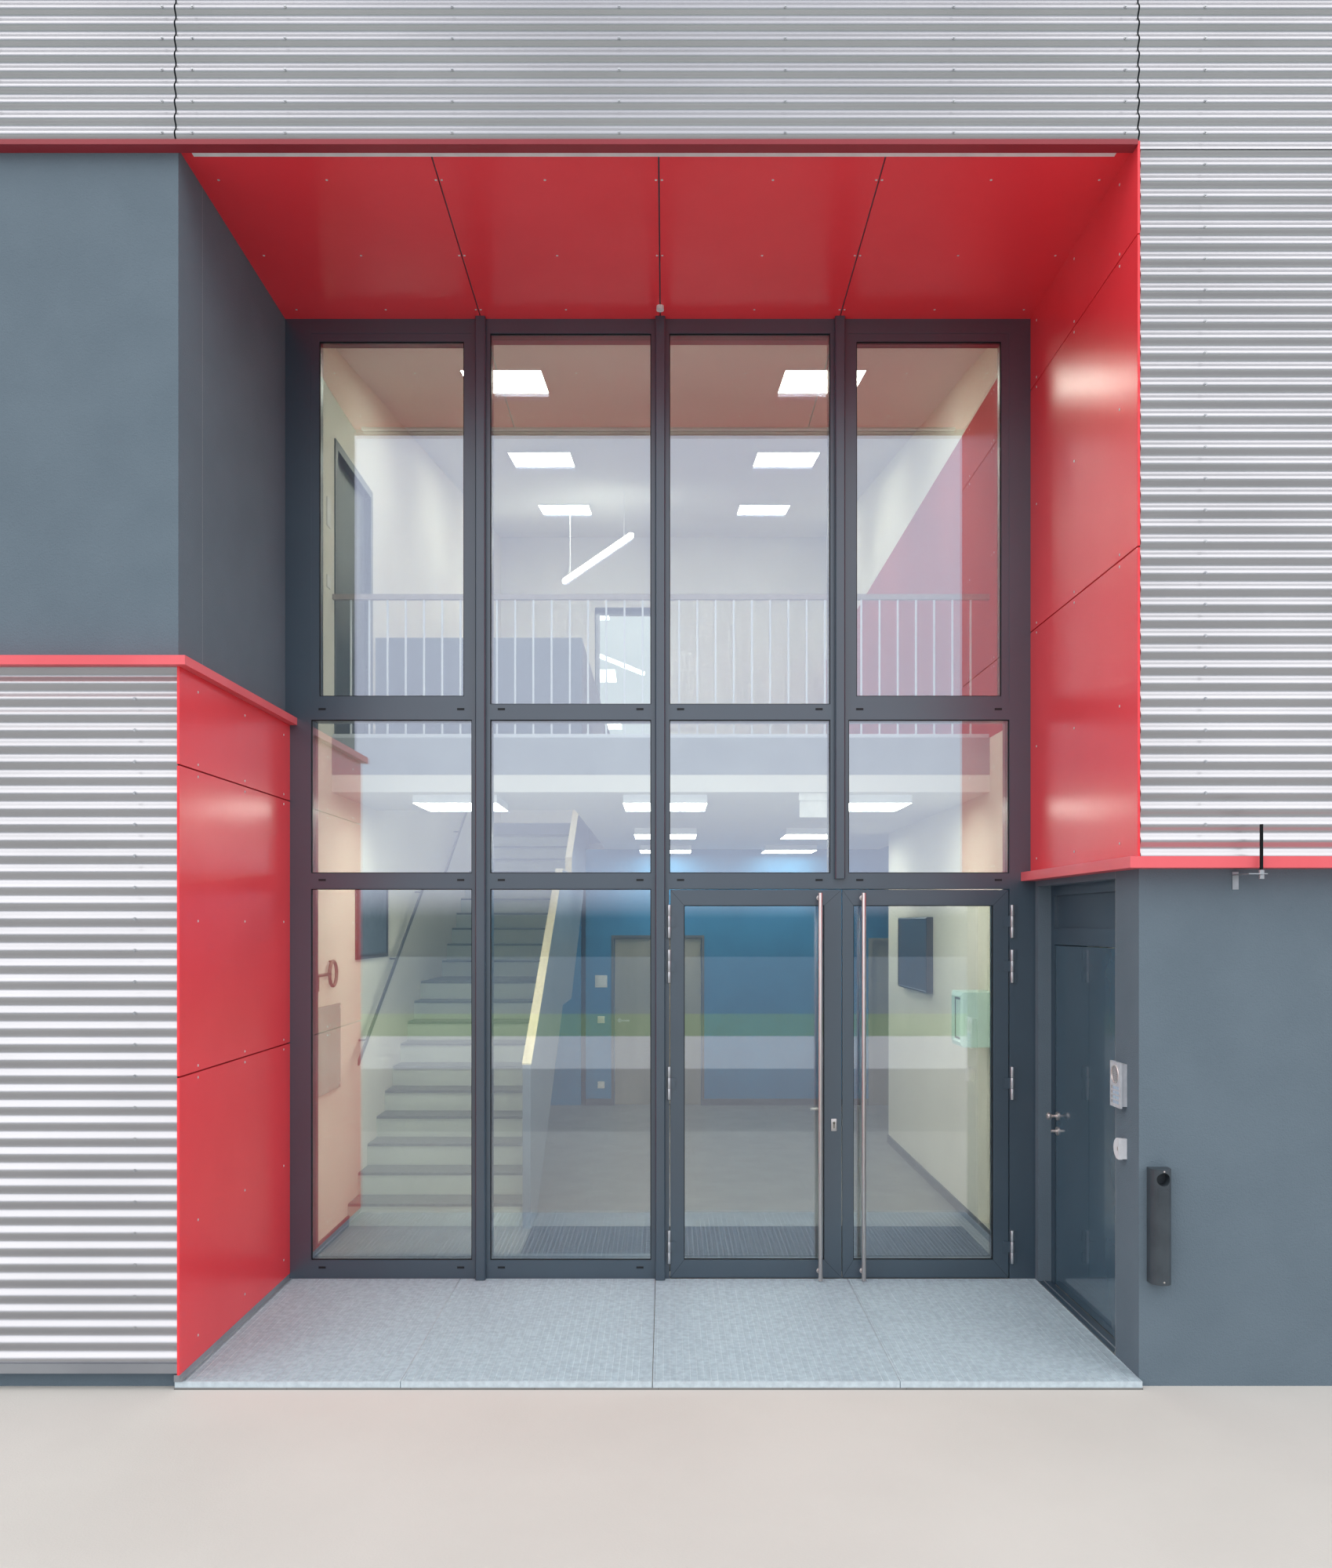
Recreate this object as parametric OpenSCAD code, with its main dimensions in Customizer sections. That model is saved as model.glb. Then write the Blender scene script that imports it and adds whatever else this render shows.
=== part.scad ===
// Entrance building of a fire station, two storeys, in millimetres.
// X runs along the front, Y from the front to the back and Z up from the ground.
// The origin lies on the ground, on the centre line of the porch and half way back.

/* [Building] */
// Half of the width over the crests of the side cladding
half_width = 5000; // [4400:50:6000]
// Half of the depth over the crests of the front and back cladding
half_depth = 5650; // [5450:50:6500]
// Thickness of the outer walls
wall_t = 300; // [200:10:360]
// Height of the parapet wall under its coping
wall_top = 8410; // [8250:10:9000]
// Underside of the roof slab
roof_z = 7850; // [7830:10:8000]
// Finished floor above the ground
floor_z = 40; // [30:5:60]

/* [Cladding] */
// From the render face to the crest of the corrugated sheets
cladding_d = 60; // [40:5:80]
// Pitch of the corrugation
wave_pitch = 76; // [60:1:100]
// Depth of the corrugation
wave_depth = 18; // [10:1:30]
// Top of the cladding on the lower left of the front
left_cladding_top = 3500; // [3300:10:3600]
// Foot of the cladding on the right of the front
right_cladding_foot = 2580; // [2500:10:2600]

/* [Porch] */
// Half of the clear width of the porch between its rendered walls
porch_half = 2345; // [2345:1:2345]
// Height of the porch soffit
soffit_z = 6040; // [6040:1:6040]
// Thickness of the red panels on the porch walls
reveal_t = 30; // [15:1:40]
// Width of the open joints between the red panels
panel_joint = 8; // [4:1:14]

/* [Glazing] */
// Front face of the glazing frame, behind the origin
glazing_y = -3980; // [-3980:1:-3980]
// Depth of the glazing frame
frame_d = 150; // [100:5:180]
// How far the mullion caps stand out of the frame
cap_proud = 40; // [20:1:60]
// Thickness of the insulating glass
glass_t = 30; // [20:1:40]

/* [Doors] */
// Thickness of the glazed door leaves
leaf_t = 75; // [60:1:80]
// Gap round a moving leaf
leaf_gap = 6; // [6:1:8]
// Diameter of the pull bars
pull_d = 26; // [18:1:40]
// How far the pull bars stand out of the leaves
pull_proud = 80; // [60:1:90]
// Diameter of the hinge barrels
barrel_d = 21; // [16:1:22]

/* [Stair] */
// Number of risers
risers = 21; // [21:1:21]
// Going of a step
going = 284; // [260:1:290]
// Thickness of the tread slabs
tread_t = 20; // [15:1:30]

/* [Hidden] */
$fn = 32;
lap = 1;

// Faces of the outer walls
face_x = half_width - cladding_d;
face_y = half_depth - cladding_d;
in_x = face_x - wall_t;
in_y = face_y - wall_t;

// Foyer, behind the glazing
foyer_half = 2300;
foyer_wall_x = porch_half + wall_t;
glazing_back = glazing_y + frame_d;
corridor_y = [630, 3220];

// Floors and ceilings
gallery_z = [3300, 3560];
board_z = 3180;
gallery_front = -3110;
stairwell_x = [-foyer_half, -700];
stairwell_y = [-1820, 3760];
ceiling_slope = 0.17;
ceiling_z = 6160;
ceiling_t = 60;
roof_t = 200;

// Glazing grid
post_x = [
    [-porch_half, -2183], [-1177, -1063], [-57, 57], [1063, 1177], [2183, porch_half]
];
rail_z = [floor_z, 155];
lower_transom_z = [2477, 2575];
upper_transom_z = [3534, 3631];
head_z = [5950, soffit_z];
casement_w = 50;
glass_back = 15;
cap_w = 62;

// Doors
leaf_foot = floor_z + leaf_gap;
leaf_top = lower_transom_z[0] - leaf_gap;
meeting_x = 1136;
left_leaf_x = [post_x[2][1] + leaf_gap, meeting_x - leaf_gap / 2];
right_leaf_x = [meeting_x + leaf_gap / 2, post_x[4][0] - leaf_gap];
left_pane_x = [148, 1026];
right_pane_x = [1207, 2082];
pane_z = [156, 2374];
rebate_w = 8;
rebate_y = 20;
axis_out = 12;
left_axis_x = 55;
right_axis_x = 2197;
barrel_l = 206;
barrel_foot_z = [137, 1160, 1890, 2170];
pull_z = [floor_z + leaf_gap, 2450];
pull_x = [993, 1262];
standoff_z = [90, 2420];

// Side door, in the right wall of the porch
side_door_y = [-in_y, -4040];
side_door_z = 2490;
side_frame_x = [2425, 2495];
side_frame_w = 60;
side_leaf_x = [2430, 2490];
side_leaf_y = [side_door_y[0] + side_frame_w + 5, side_door_y[1] - side_frame_w - 8];
side_leaf_top = 2125;
side_rail_z = [2131, 2230];
side_axis = [side_frame_x[1] + 13, side_leaf_y[0] - 3];
side_barrel_z = [240, 1180, 1900];

// Door in the rear partition
rear_y = [3100, 3220];
rear_opening_x = [-600, 470];
rear_door_top = 2090;
rear_leaf_x = [-593, 465];
rear_leaf_y = [3120, 3160];
rear_axis = [rear_leaf_x[1] - 5, rear_leaf_y[1] + axis_out];
corridor_door_x = [2520, 3480];

// Back and side windows
window_w = 870;
window_z = [4440, 6740];
window_rim = 25;
back_window_x = [-3400, -535, 3400];
side_window_y = [-1800, 1800];

// Door of the gallery, in the left wall of the foyer
gallery_door_y = [-3050, -2000];
gallery_door_z = [gallery_z[1], 5680];

// Stair along the left wall of the foyer
stair_x = [-foyer_half, -1010];
riser_h = (gallery_z[1] - floor_z) / risers;
first_riser_y = -2700;
landing_step = 10;
landing_y = first_riser_y + (landing_step - 1) * going;
upper_riser_y = stairwell_y[1] - (risers - landing_step - 1) * going;
waist = 190;
pitch = riser_h / going;
guard_h = 1000;
stair_guard_h = 1060;
guard_t = 60;

function step_y(i) = i <= landing_step
    ? first_riser_y + (i - 1) * going
    : upper_riser_y + (i - landing_step - 1) * going;
function step_z(i) = floor_z + i * riser_h;
// Height of the line over the nosings at any depth
function nosing_z(y) = y < landing_y
    ? step_z(1) + (y - first_riser_y) * pitch
    : y < upper_riser_y
        ? step_z(landing_step)
        : step_z(landing_step + 1) + (y - upper_riser_y) * pitch;
function ceiling_at(y) = ceiling_z + ceiling_slope * (y - glazing_y);
// Distance of a sheet's face behind its crest plane at height z
function wave(z) = wave_depth / 2 * (1 - cos(360 * z / wave_pitch));

// A block between two corners, given as ranges along X, Y and Z
module block(x, y, z) {
    translate([x[0], y[0], z[0]])
        cube([x[1] - x[0], y[1] - y[0], z[1] - z[0]]);
}

// An outline in the YZ plane, drawn out along X
module along_x(points, x) {
    translate([x[0], 0, 0])
        rotate([90, 0, 90])
            linear_extrude(x[1] - x[0]) polygon(points);
}

// An outline in plan, drawn up
module upright(points, z) {
    translate([0, 0, z[0]]) linear_extrude(z[1] - z[0]) polygon(points);
}

// A round bar between two heights
module rod_z(x, y, z, d) {
    translate([x, y, z[0]]) cylinder(h = z[1] - z[0], d = d);
}

// A corrugated sheet of the given width with its crests at y = 0, facing -Y
module corrugated(width, z) {
    step = wave_pitch / 8;
    inner = [for (k = [ceil(z[0] / step) : floor(z[1] / step)]) k * step];
    heights = concat([z[0]], [for (h = inner) if (h > z[0] + 1 && h < z[1] - 1) h], [z[1]]);
    outline = concat(
        [[cladding_d, z[0]]],
        [for (h = heights) [wave(h), h]],
        [[cladding_d, z[1]]]
    );
    along_x(outline, [0, width]);
}

module on_front(x0) { translate([x0, -half_depth, 0]) children(); }
module on_back(x1) { translate([x1, half_depth, 0]) rotate(180) children(); }
module on_right(y0) { translate([half_width, y0, 0]) rotate(90) children(); }
module on_left(y1) { translate([-half_width, y1, 0]) rotate(-90) children(); }

// Openings of the windows, through walls and cladding
module back_window_cuts() {
    for (x = back_window_x)
        block([x - window_w / 2, x + window_w / 2], [in_y - lap, half_depth + lap], window_z);
}

module side_window_cuts(side, rim = 0) {
    for (y = side_window_y)
        scale([side, 1, 1])
            block([in_x - lap, half_width + rim + lap],
                  [y - window_w / 2 - rim, y + window_w / 2 + rim],
                  [window_z[0] - rim, window_z[1] + rim]);
}

// Floor slab, with a shallow pit for the grating in the porch
module floor_slab() {
    color("lightgray") difference() {
        union() {
            block([-in_x, in_x], [-in_y, in_y], [0, floor_z]);
            block([-porch_half, porch_half], [-half_depth + 10, -in_y + lap], [0, floor_z]);
        }
        block([-porch_half, porch_half], [-half_depth, glazing_y], [10, floor_z + lap]);
    }
}

// Four grating panels, each a field inside a raised edge bar
module entrance_grating() {
    seams = [-porch_half, -1250, -30, 1170, porch_half];
    edge = 4;
    color("silver") for (i = [0 : 3]) {
        x = [seams[i] + 2, seams[i + 1] - 2];
        y = [-half_depth + 12, glazing_y - 2];
        difference() {
            block(x, y, [10, floor_z]);
            block([x[0] + edge, x[1] - edge], [y[0] + edge, y[1] - edge], [floor_z - 2, floor_z + lap]);
        }
    }
}

module side_wall(side) {
    difference() {
        scale([side, 1, 1]) block([in_x, face_x], [-face_y, face_y], [0, wall_top]);
        side_window_cuts(side);
    }
}

module left_wall() { color("slategray") side_wall(-1); }
module right_wall() { color("slategray") side_wall(1); }

module back_wall() {
    color("slategray") difference() {
        block([-in_x, in_x], [in_y, face_y], [0, wall_top]);
        back_window_cuts();
    }
}

module front_left_wall() {
    color("slategray") block([-in_x, -porch_half], [-face_y, -in_y], [0, wall_top]);
}

module front_right_wall() {
    color("slategray") block([porch_half, in_x], [-face_y, -in_y], [0, wall_top]);
}

// Wall over the porch, the slab that closes the porch and the lintel over the glazing
module front_top_wall() {
    slab = [soffit_z + 12, soffit_z + 212];
    color("slategray") along_x([
        [-face_y, slab[0]], [glazing_y, slab[0]], [glazing_y, soffit_z],
        [glazing_back, soffit_z], [glazing_back, roof_z], [glazing_y, roof_z],
        [glazing_y, slab[1]], [-in_y, slab[1]], [-in_y, wall_top], [-face_y, wall_top]
    ], [-porch_half, porch_half]);
}

// Left wall of porch and foyer, with the opening of the gallery door
module foyer_left_wall() {
    color("ivory") difference() {
        upright([
            [-foyer_wall_x, -in_y], [-porch_half, -in_y], [-porch_half, glazing_back],
            [-foyer_half, glazing_back], [-foyer_half, in_y], [-foyer_wall_x, in_y]
        ], [floor_z, roof_z]);
        block([-foyer_wall_x - lap, -foyer_half + lap], gallery_door_y, gallery_door_z);
    }
}

// Right wall of the foyer, open to a corridor on the ground floor
module foyer_right_wall() {
    color("ivory") difference() {
        upright([
            [foyer_wall_x, side_door_y[1]], [porch_half, side_door_y[1]],
            [porch_half, glazing_back], [foyer_half, glazing_back],
            [foyer_half, in_y], [foyer_wall_x, in_y]
        ], [floor_z, roof_z]);
        block([foyer_half - lap, foyer_wall_x + lap], corridor_y, [floor_z - lap, gallery_z[1]]);
        block([foyer_half - lap, foyer_wall_x + lap], [corridor_y[0], in_y + lap], gallery_z);
    }
}

// Right wall of the porch, over the side door
module recess_right_wall() {
    color("slategray")
        block([porch_half, foyer_wall_x], side_door_y, [side_door_z, roof_z]);
}

// Blue wall across the back of foyer and corridor with two doors, and the wall under the stair
module rear_partition() {
    color("steelblue") difference() {
        union() {
            block([-950, foyer_wall_x], rear_y, [floor_z, board_z]);
            block([foyer_wall_x, in_x], rear_y, [floor_z, gallery_z[0]]);
        }
        for (x = [rear_opening_x, corridor_door_x])
            block(x, [rear_y[0] - lap, rear_y[1] + lap], [floor_z - lap, rear_door_top]);
    }
    color("steelblue") block([-foyer_half, stair_x[1]], rear_y, [floor_z, 2700]);
}

// Boards along the feet of the foyer walls
module skirting() {
    t = 12;
    z = [floor_z, floor_z + 80];
    color("dimgray") {
        block([-foyer_half, -foyer_half + t], [glazing_back, first_riser_y - 5], z);
        block([foyer_half - t, foyer_half], [glazing_back, corridor_y[0]], z);
        for (x = [[-950, rear_opening_x[0]], [rear_opening_x[1], corridor_door_x[0]],
                  [corridor_door_x[1], in_x]])
            block(x, [rear_y[0] - t, rear_y[0]], z);
    }
}

// Mat inside the glazed doors, in an edge strip
module entrance_mat() {
    x = [-940, 2200];
    y = [glazing_back + 10, -2730];
    z = [floor_z, floor_z + 8];
    edge = 15;
    color("dimgray") difference() {
        block(x, y, z);
        block([x[0] + edge, x[1] - edge], [y[0] + edge, y[1] - edge], [z[1] - 2, z[1] + lap]);
    }
}

// Closed door at the end of the corridor, in a steel frame
module corridor_door() {
    x = corridor_door_x;
    front = rear_y[0] - 10;
    frame = 50;
    lever_x = x[1] - frame - 60;
    color("tan") {
        difference() {
            block(x, [front, rear_y[1] - 20], [floor_z, rear_door_top]);
            block([x[0] + frame, x[1] - frame], [front - lap, rear_y[0] + 15],
                  [floor_z - lap, rear_door_top - frame]);
        }
        translate([lever_x, rear_y[0] + 15, 1080]) rotate([90, 0, 0]) cylinder(h = 3, d = 50);
        block([lever_x - 8, lever_x + 8], [rear_y[0] - 35, rear_y[0] + 15], [1072, 1088]);
        block([lever_x - 122, lever_x + 8], [rear_y[0] - 35, rear_y[0] - 29], [1070, 1090]);
    }
}

module gallery_outline() {
    difference() {
        polygon([
            [-foyer_half, gallery_front], [foyer_half, gallery_front],
            [foyer_half, corridor_y[0]], [foyer_wall_x, corridor_y[0]],
            [foyer_wall_x, in_y], [-foyer_half, in_y]
        ]);
        translate([stairwell_x[0] - lap, stairwell_y[0]])
            square([stairwell_x[1] - stairwell_x[0] + lap, stairwell_y[1] - stairwell_y[0]]);
    }
}

module gallery_floor() {
    color("gray") translate([0, 0, gallery_z[0]])
        linear_extrude(gallery_z[1] - gallery_z[0]) gallery_outline();
}

module side_floors() {
    color("lightgray") for (side = [-1, 1])
        scale([side, 1, 1]) block([foyer_wall_x, in_x], [-in_y, in_y], gallery_z);
}

// Board under the gallery, and the sloping ceiling over the foyer
module foyer_ceilings() {
    color("whitesmoke") translate([0, 0, board_z])
        linear_extrude(gallery_z[0] - board_z) difference() {
            gallery_outline();
            translate([foyer_half, corridor_y[1]]) square([wall_t + 100, in_y]);
        }
    color("whitesmoke") along_x([
        [glazing_back, ceiling_at(glazing_back)], [in_y, ceiling_at(in_y)],
        [in_y, ceiling_at(in_y) + ceiling_t], [glazing_back, ceiling_at(glazing_back) + ceiling_t]
    ], [-foyer_half, foyer_half]);
}

module roof_slab() {
    color("dimgray") block([-in_x, in_x], [-in_y, in_y], [roof_z, roof_z + roof_t]);
}

// Four coping lengths with a joint at each corner
module parapet_coping() {
    over = 15;
    out_x = half_width + over;
    out_y = half_depth + over;
    back_x = in_x - over;
    back_y = in_y - over;
    z = [wall_top, wall_top + 30];
    color("silver") {
        for (side = [-1, 1]) {
            scale([1, side, 1]) block([-out_x, out_x], [back_y, out_y], z);
            scale([side, 1, 1]) block([back_x, out_x], [-back_y + 4, back_y - 4], z);
        }
    }
}

// Four red panels under the porch slab
module soffit_panels() {
    seams = [-porch_half, -1120, 0, 1120, porch_half];
    color("crimson") for (i = [0 : 3])
        block([seams[i] + (i > 0 ? panel_joint / 2 : 0), seams[i + 1] - (i < 3 ? panel_joint / 2 : 0)],
              [-face_y, glazing_y], [soffit_z, soffit_z + 12]);
}

// Red panels on one porch wall: thick on the wall, thin where they cover the cladding's end
module reveal_panel(side, z) {
    inner = porch_half - reveal_t;
    scale([side, 1, 1]) upright([
        [porch_half, -face_y], [inner + 12, -face_y], [inner + 12, -half_depth],
        [inner, -half_depth], [inner, glazing_y], [porch_half, glazing_y]
    ], z);
}

module reveal_panels() {
    left_seams = [70, 1515, 3025, left_cladding_top];
    right_seams = [right_cladding_foot, 4080, 5590, soffit_z];
    color("crimson") for (i = [0 : 2]) {
        gap = panel_joint / 2;
        reveal_panel(-1, [left_seams[i] + gap, left_seams[i + 1] - (i < 2 ? gap : 0)]);
        reveal_panel(1, [right_seams[i] + (i > 0 ? gap : 0), right_seams[i + 1] - (i < 2 ? gap : 0)]);
    }
}

// Red edge trims: over the lower left cladding, under the upper bands
module red_trims() {
    left_out = 45;
    right_out = 60;
    left_z = [left_cladding_top, left_cladding_top + 45];
    right_z = [right_cladding_foot - 55, right_cladding_foot];
    top_z = [soffit_z - 20, soffit_z + 5];
    color("crimson") difference() {
        union() {
        upright([
            [-half_width - left_out, face_y], [-half_width - left_out, -half_depth - left_out],
            [-porch_half + reveal_t + left_out, -half_depth - left_out],
            [-porch_half + reveal_t + left_out, glazing_y], [-porch_half, glazing_y],
            [-porch_half, -face_y], [-face_x, -face_y], [-face_x, face_y]
        ], left_z);
        upright([
            [half_width + right_out, half_depth + right_out],
            [half_width + right_out, -half_depth - right_out],
            [porch_half - reveal_t - right_out, -half_depth - right_out],
            [porch_half - reveal_t - right_out, glazing_y], [porch_half, glazing_y],
            [porch_half, -face_y], [face_x, -face_y], [face_x, face_y],
            [-face_x, face_y], [-face_x, half_depth + right_out]
        ], right_z);
        upright([
            [-half_width - 5, face_y], [-half_width - 5, -half_depth - 5],
            [porch_half - reveal_t, -half_depth - 5], [porch_half - reveal_t, -face_y],
            [-face_x, -face_y], [-face_x, face_y]
        ], top_z);
        }
        side_window_cuts(-1, window_rim);
    }
}

// Aluminium profiles: along the foot of the left cladding and on the clad corners
module cladding_profiles() {
    foot_z = [83, 129];
    color("silver") {
        upright([
            [-half_width, face_y], [-half_width, -half_depth],
            [-porch_half + 18, -half_depth], [-porch_half + 18, -face_y],
            [-face_x, -face_y], [-face_x, face_y]
        ], foot_z);
        for (z = [[foot_z[1], left_cladding_top], [soffit_z + 5, wall_top]])
            block([-half_width, -face_x], [-half_depth, -face_y], z);
        block([face_x, half_width], [-half_depth, -face_y], [right_cladding_foot, wall_top]);
        for (side = [-1, 1])
            scale([side, 1, 1])
                block([face_x, half_width], [face_y, half_depth], [right_cladding_foot, wall_top]);
    }
}

// Front sheets: lower left, upper left, over the porch and right, with shadow gaps
module cladding_front() {
    gap = 8;
    left_joint = -2339;
    right_joint = 2323;
    foot = soffit_z + 5;
    color("gainsboro") {
        on_front(-face_x) corrugated(face_x - porch_half + 18, [129, left_cladding_top]);
        on_front(-face_x) corrugated(face_x + left_joint - gap / 2, [foot, wall_top]);
        on_front(left_joint + gap / 2) corrugated(right_joint - left_joint - gap, [foot, wall_top]);
        on_front(right_joint + gap / 2)
            corrugated(face_x - right_joint - gap / 2, [soffit_z - 40, wall_top]);
        on_front(right_joint + gap)
            corrugated(face_x - right_joint - gap, [right_cladding_foot, soffit_z - 44]);
    }
}

module cladding_left() {
    color("gainsboro") difference() {
        union() {
            on_left(face_y) corrugated(2 * face_y, [129, left_cladding_top]);
            on_left(face_y) corrugated(2 * face_y, [soffit_z + 5, wall_top]);
        }
        side_window_cuts(-1);
    }
}

module cladding_right() {
    color("gainsboro") difference() {
        on_right(-face_y) corrugated(2 * face_y, [right_cladding_foot, wall_top]);
        side_window_cuts(1);
    }
}

module cladding_back() {
    color("gainsboro") difference() {
        on_back(face_x) corrugated(2 * face_x, [right_cladding_foot, wall_top]);
        back_window_cuts();
    }
}

// Posts of the glazing; the third mullion stands on the transom over the doors
module facade_posts() {
    color("darkslategray") for (i = [0 : 4])
        block(post_x[i], [glazing_y, glazing_back],
              [i == 3 ? lower_transom_z[1] : floor_z, soffit_z]);
}

module bay_rail(i, j, z) {
    block([post_x[i][1], post_x[j][0]], [glazing_y, glazing_back], z);
}

module facade_transoms() {
    color("darkslategray") {
        for (i = [0 : 3]) {
            bay_rail(i, i + 1, upper_transom_z);
            bay_rail(i, i + 1, head_z);
        }
        for (i = [0 : 1]) {
            bay_rail(i, i + 1, rail_z);
            bay_rail(i, i + 1, lower_transom_z);
        }
        bay_rail(2, 4, lower_transom_z);
    }
}

// Cover caps on the three mullions, with a shallow step on each side
module mullion_caps() {
    color("darkslategray") for (i = [1 : 3]) {
        x = (post_x[i][0] + post_x[i][1]) / 2;
        foot = i == 3 ? lower_transom_z[1] - 35 : floor_z;
        upright([
            [x - cap_w / 2, glazing_y], [x - cap_w / 2, glazing_y - cap_proud + 6],
            [x - cap_w / 2 + 6, glazing_y - cap_proud], [x + cap_w / 2 - 6, glazing_y - cap_proud],
            [x + cap_w / 2, glazing_y - cap_proud + 6], [x + cap_w / 2, glazing_y]
        ], [foot, soffit_z]);
    }
}

// Sash frames in the upper outer panes
module casement_frames() {
    z = [upper_transom_z[1], head_z[0]];
    color("darkslategray") for (i = [0, 3]) {
        x = [post_x[i][1], post_x[i + 1][0]];
        difference() {
            block(x, [glazing_y + 4, glazing_y + 90], z);
            block([x[0] + casement_w, x[1] - casement_w], [glazing_y, glazing_y + 100],
                  [z[0] + casement_w, z[1] - casement_w]);
        }
    }
}

module facade_pane(x, z) {
    block(x, [glazing_y + glass_back, glazing_y + glass_back + glass_t], z);
}

module facade_glass() {
    color("lightblue", 0.4) for (i = [0 : 3]) {
        x = [post_x[i][1], post_x[i + 1][0]];
        trim = (i == 0 || i == 3) ? casement_w : 0;
        facade_pane([x[0] + trim, x[1] - trim], [upper_transom_z[1] + trim, head_z[0] - trim]);
        facade_pane(x, [lower_transom_z[1], upper_transom_z[0]]);
        if (i < 2) facade_pane(x, [rail_z[1], lower_transom_z[0]]);
    }
}

// One third of a hinge barrel, its strap, and the pad that seats the strap on a frame
module hinge_third(x, k, foot, strap_x, pad_x) {
    third = barrel_l / 3;
    z = [foot + k * third + 0.5, foot + (k + 1) * third - 0.5];
    rod_z(x, glazing_y - axis_out, z, barrel_d);
    block(strap_x, [glazing_y - 9, glazing_y - 2], z);
    block(pad_x, [glazing_y - 3, glazing_y], z);
}

// The fixed outer thirds of the barrels, on the posts beside the doors
module hinge_barrels() {
    left = left_axis_x;
    right = right_axis_x;
    color("silver") for (foot = barrel_foot_z, k = [0, 2]) {
        hinge_third(left, k, foot, [left - 22, left], [left - 22, left - 2]);
        hinge_third(right, k, foot, [right, right + 28], [right + 2, right + 28]);
    }
}

// A glazed leaf: rebated at the meeting edge, with the moving third of each barrel
module door_leaf(x, pane_x, meets_right, axis_x) {
    y = [glazing_y, glazing_y + leaf_t];
    meet = meets_right ? x[1] : x[0];
    back = meets_right ? meet - rebate_w : meet + rebate_w;
    hang = meets_right ? x[0] : x[1];
    difference() {
        upright([
            [hang, y[0]], [meet, y[0]], [meet, y[0] + rebate_y],
            [back, y[0] + rebate_y], [back, y[1]], [hang, y[1]]
        ], [leaf_foot, leaf_top]);
        block(pane_x, [y[0] - lap, y[1] + lap], pane_z);
    }
    strap_end = meets_right ? hang + 32 : hang - 32;
    for (foot = barrel_foot_z)
        hinge_third(axis_x, 1, foot,
                    [min(axis_x, strap_end), max(axis_x, strap_end)],
                    [min(hang, strap_end), max(hang, strap_end)]);
}

module door_glass(pane_x) {
    block(pane_x, [glazing_y + 20, glazing_y + 20 + glass_t], pane_z);
}

// A full-height pull bar on two standoffs
module door_pull(x) {
    y = glazing_y - pull_proud + pull_d / 2;
    rod_z(x, y, pull_z, pull_d);
    for (z = standoff_z)
        translate([x, glazing_y, z]) rotate([90, 0, 0]) cylinder(h = pull_proud - pull_d / 2, d = 18);
}

module left_door_leaf() {
    color("darkslategray") door_leaf(left_leaf_x, left_pane_x, true, left_axis_x);
}

module right_door_leaf() {
    color("darkslategray") door_leaf(right_leaf_x, right_pane_x, false, right_axis_x);
}

module left_door_glass() { color("lightblue", 0.4) door_glass(left_pane_x); }
module right_door_glass() { color("lightblue", 0.4) door_glass(right_pane_x); }

// The left bar has the lock cylinder beside it and a lever inside
module left_door_pull() {
    color("silver") {
        door_pull(pull_x[0]);
        hull() for (z = [980, 1023])
            translate([1085, glazing_y, z]) rotate([90, 0, 0]) cylinder(h = 9, d = 35);
        translate([1085, glazing_y + leaf_t, 1080]) {
            rotate([-90, 0, 0]) cylinder(h = 50, d = 18);
            translate([-130, 50, 0]) rotate([0, 90, 0]) cylinder(h = 139, d = 18);
        }
    }
}

module right_door_pull() { color("silver") door_pull(pull_x[1]); }

// Frame of the side door, with the glass light over the leaf
module side_door_frame() {
    y = side_door_y;
    w = side_frame_w;
    inner = [y[0] + w, y[1] - w];
    color("darkslategray") difference() {
        block(side_frame_x, y, [floor_z, side_door_z]);
        block([side_frame_x[0] - lap, side_frame_x[1] + lap], inner, [floor_z - lap, side_rail_z[0]]);
        block([side_frame_x[0] - lap, side_frame_x[0] + 20], inner, [side_rail_z[1], side_door_z - w]);
        block([side_frame_x[1] - 20, side_frame_x[1] + lap], inner, [side_rail_z[1], side_door_z - w]);
    }
    color("silver") for (z = side_barrel_z) {
        rod_z(side_axis[0], side_axis[1], [z + 50.5, z + 100], barrel_d);
        block([side_frame_x[1] - lap, side_axis[0]], [side_axis[1] - 8, side_axis[1] - 3],
              [z + 50.5, z + 100]);
    }
}

module side_door_leaf() {
    color("darkslategray") {
        block(side_leaf_x, side_leaf_y, [leaf_foot, side_leaf_top]);
        for (z = side_barrel_z) {
            rod_z(side_axis[0], side_axis[1], [z, z + 49.5], barrel_d);
            block([side_leaf_x[1] - lap, side_axis[0]], [side_leaf_y[0], side_leaf_y[0] + 6],
                  [z, z + 49.5]);
        }
    }
}

// Round knob and lock cylinder outside, lever inside
module side_door_knob() {
    y = side_leaf_y[1] - 37;
    color("silver") {
        translate([side_leaf_x[0], y, 1083]) rotate([0, -90, 0]) rotate_extrude() polygon([
            [0, 0], [26, 0], [26, 8], [9, 9], [9, 32], [14, 38], [22, 50], [22, 58], [14, 68], [0, 68]
        ]);
        translate([side_leaf_x[0], y, 991]) rotate([0, -90, 0]) rotate_extrude() polygon([
            [0, 0], [26, 0], [26, 8], [9, 9], [9, 40], [0, 40]
        ]);
        translate([side_leaf_x[1], y, 1083]) {
            rotate([0, 90, 0]) cylinder(h = 50, d = 18);
            translate([50, -120, 0]) rotate([-90, 0, 0]) cylinder(h = 129, d = 18);
        }
    }
}

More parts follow.
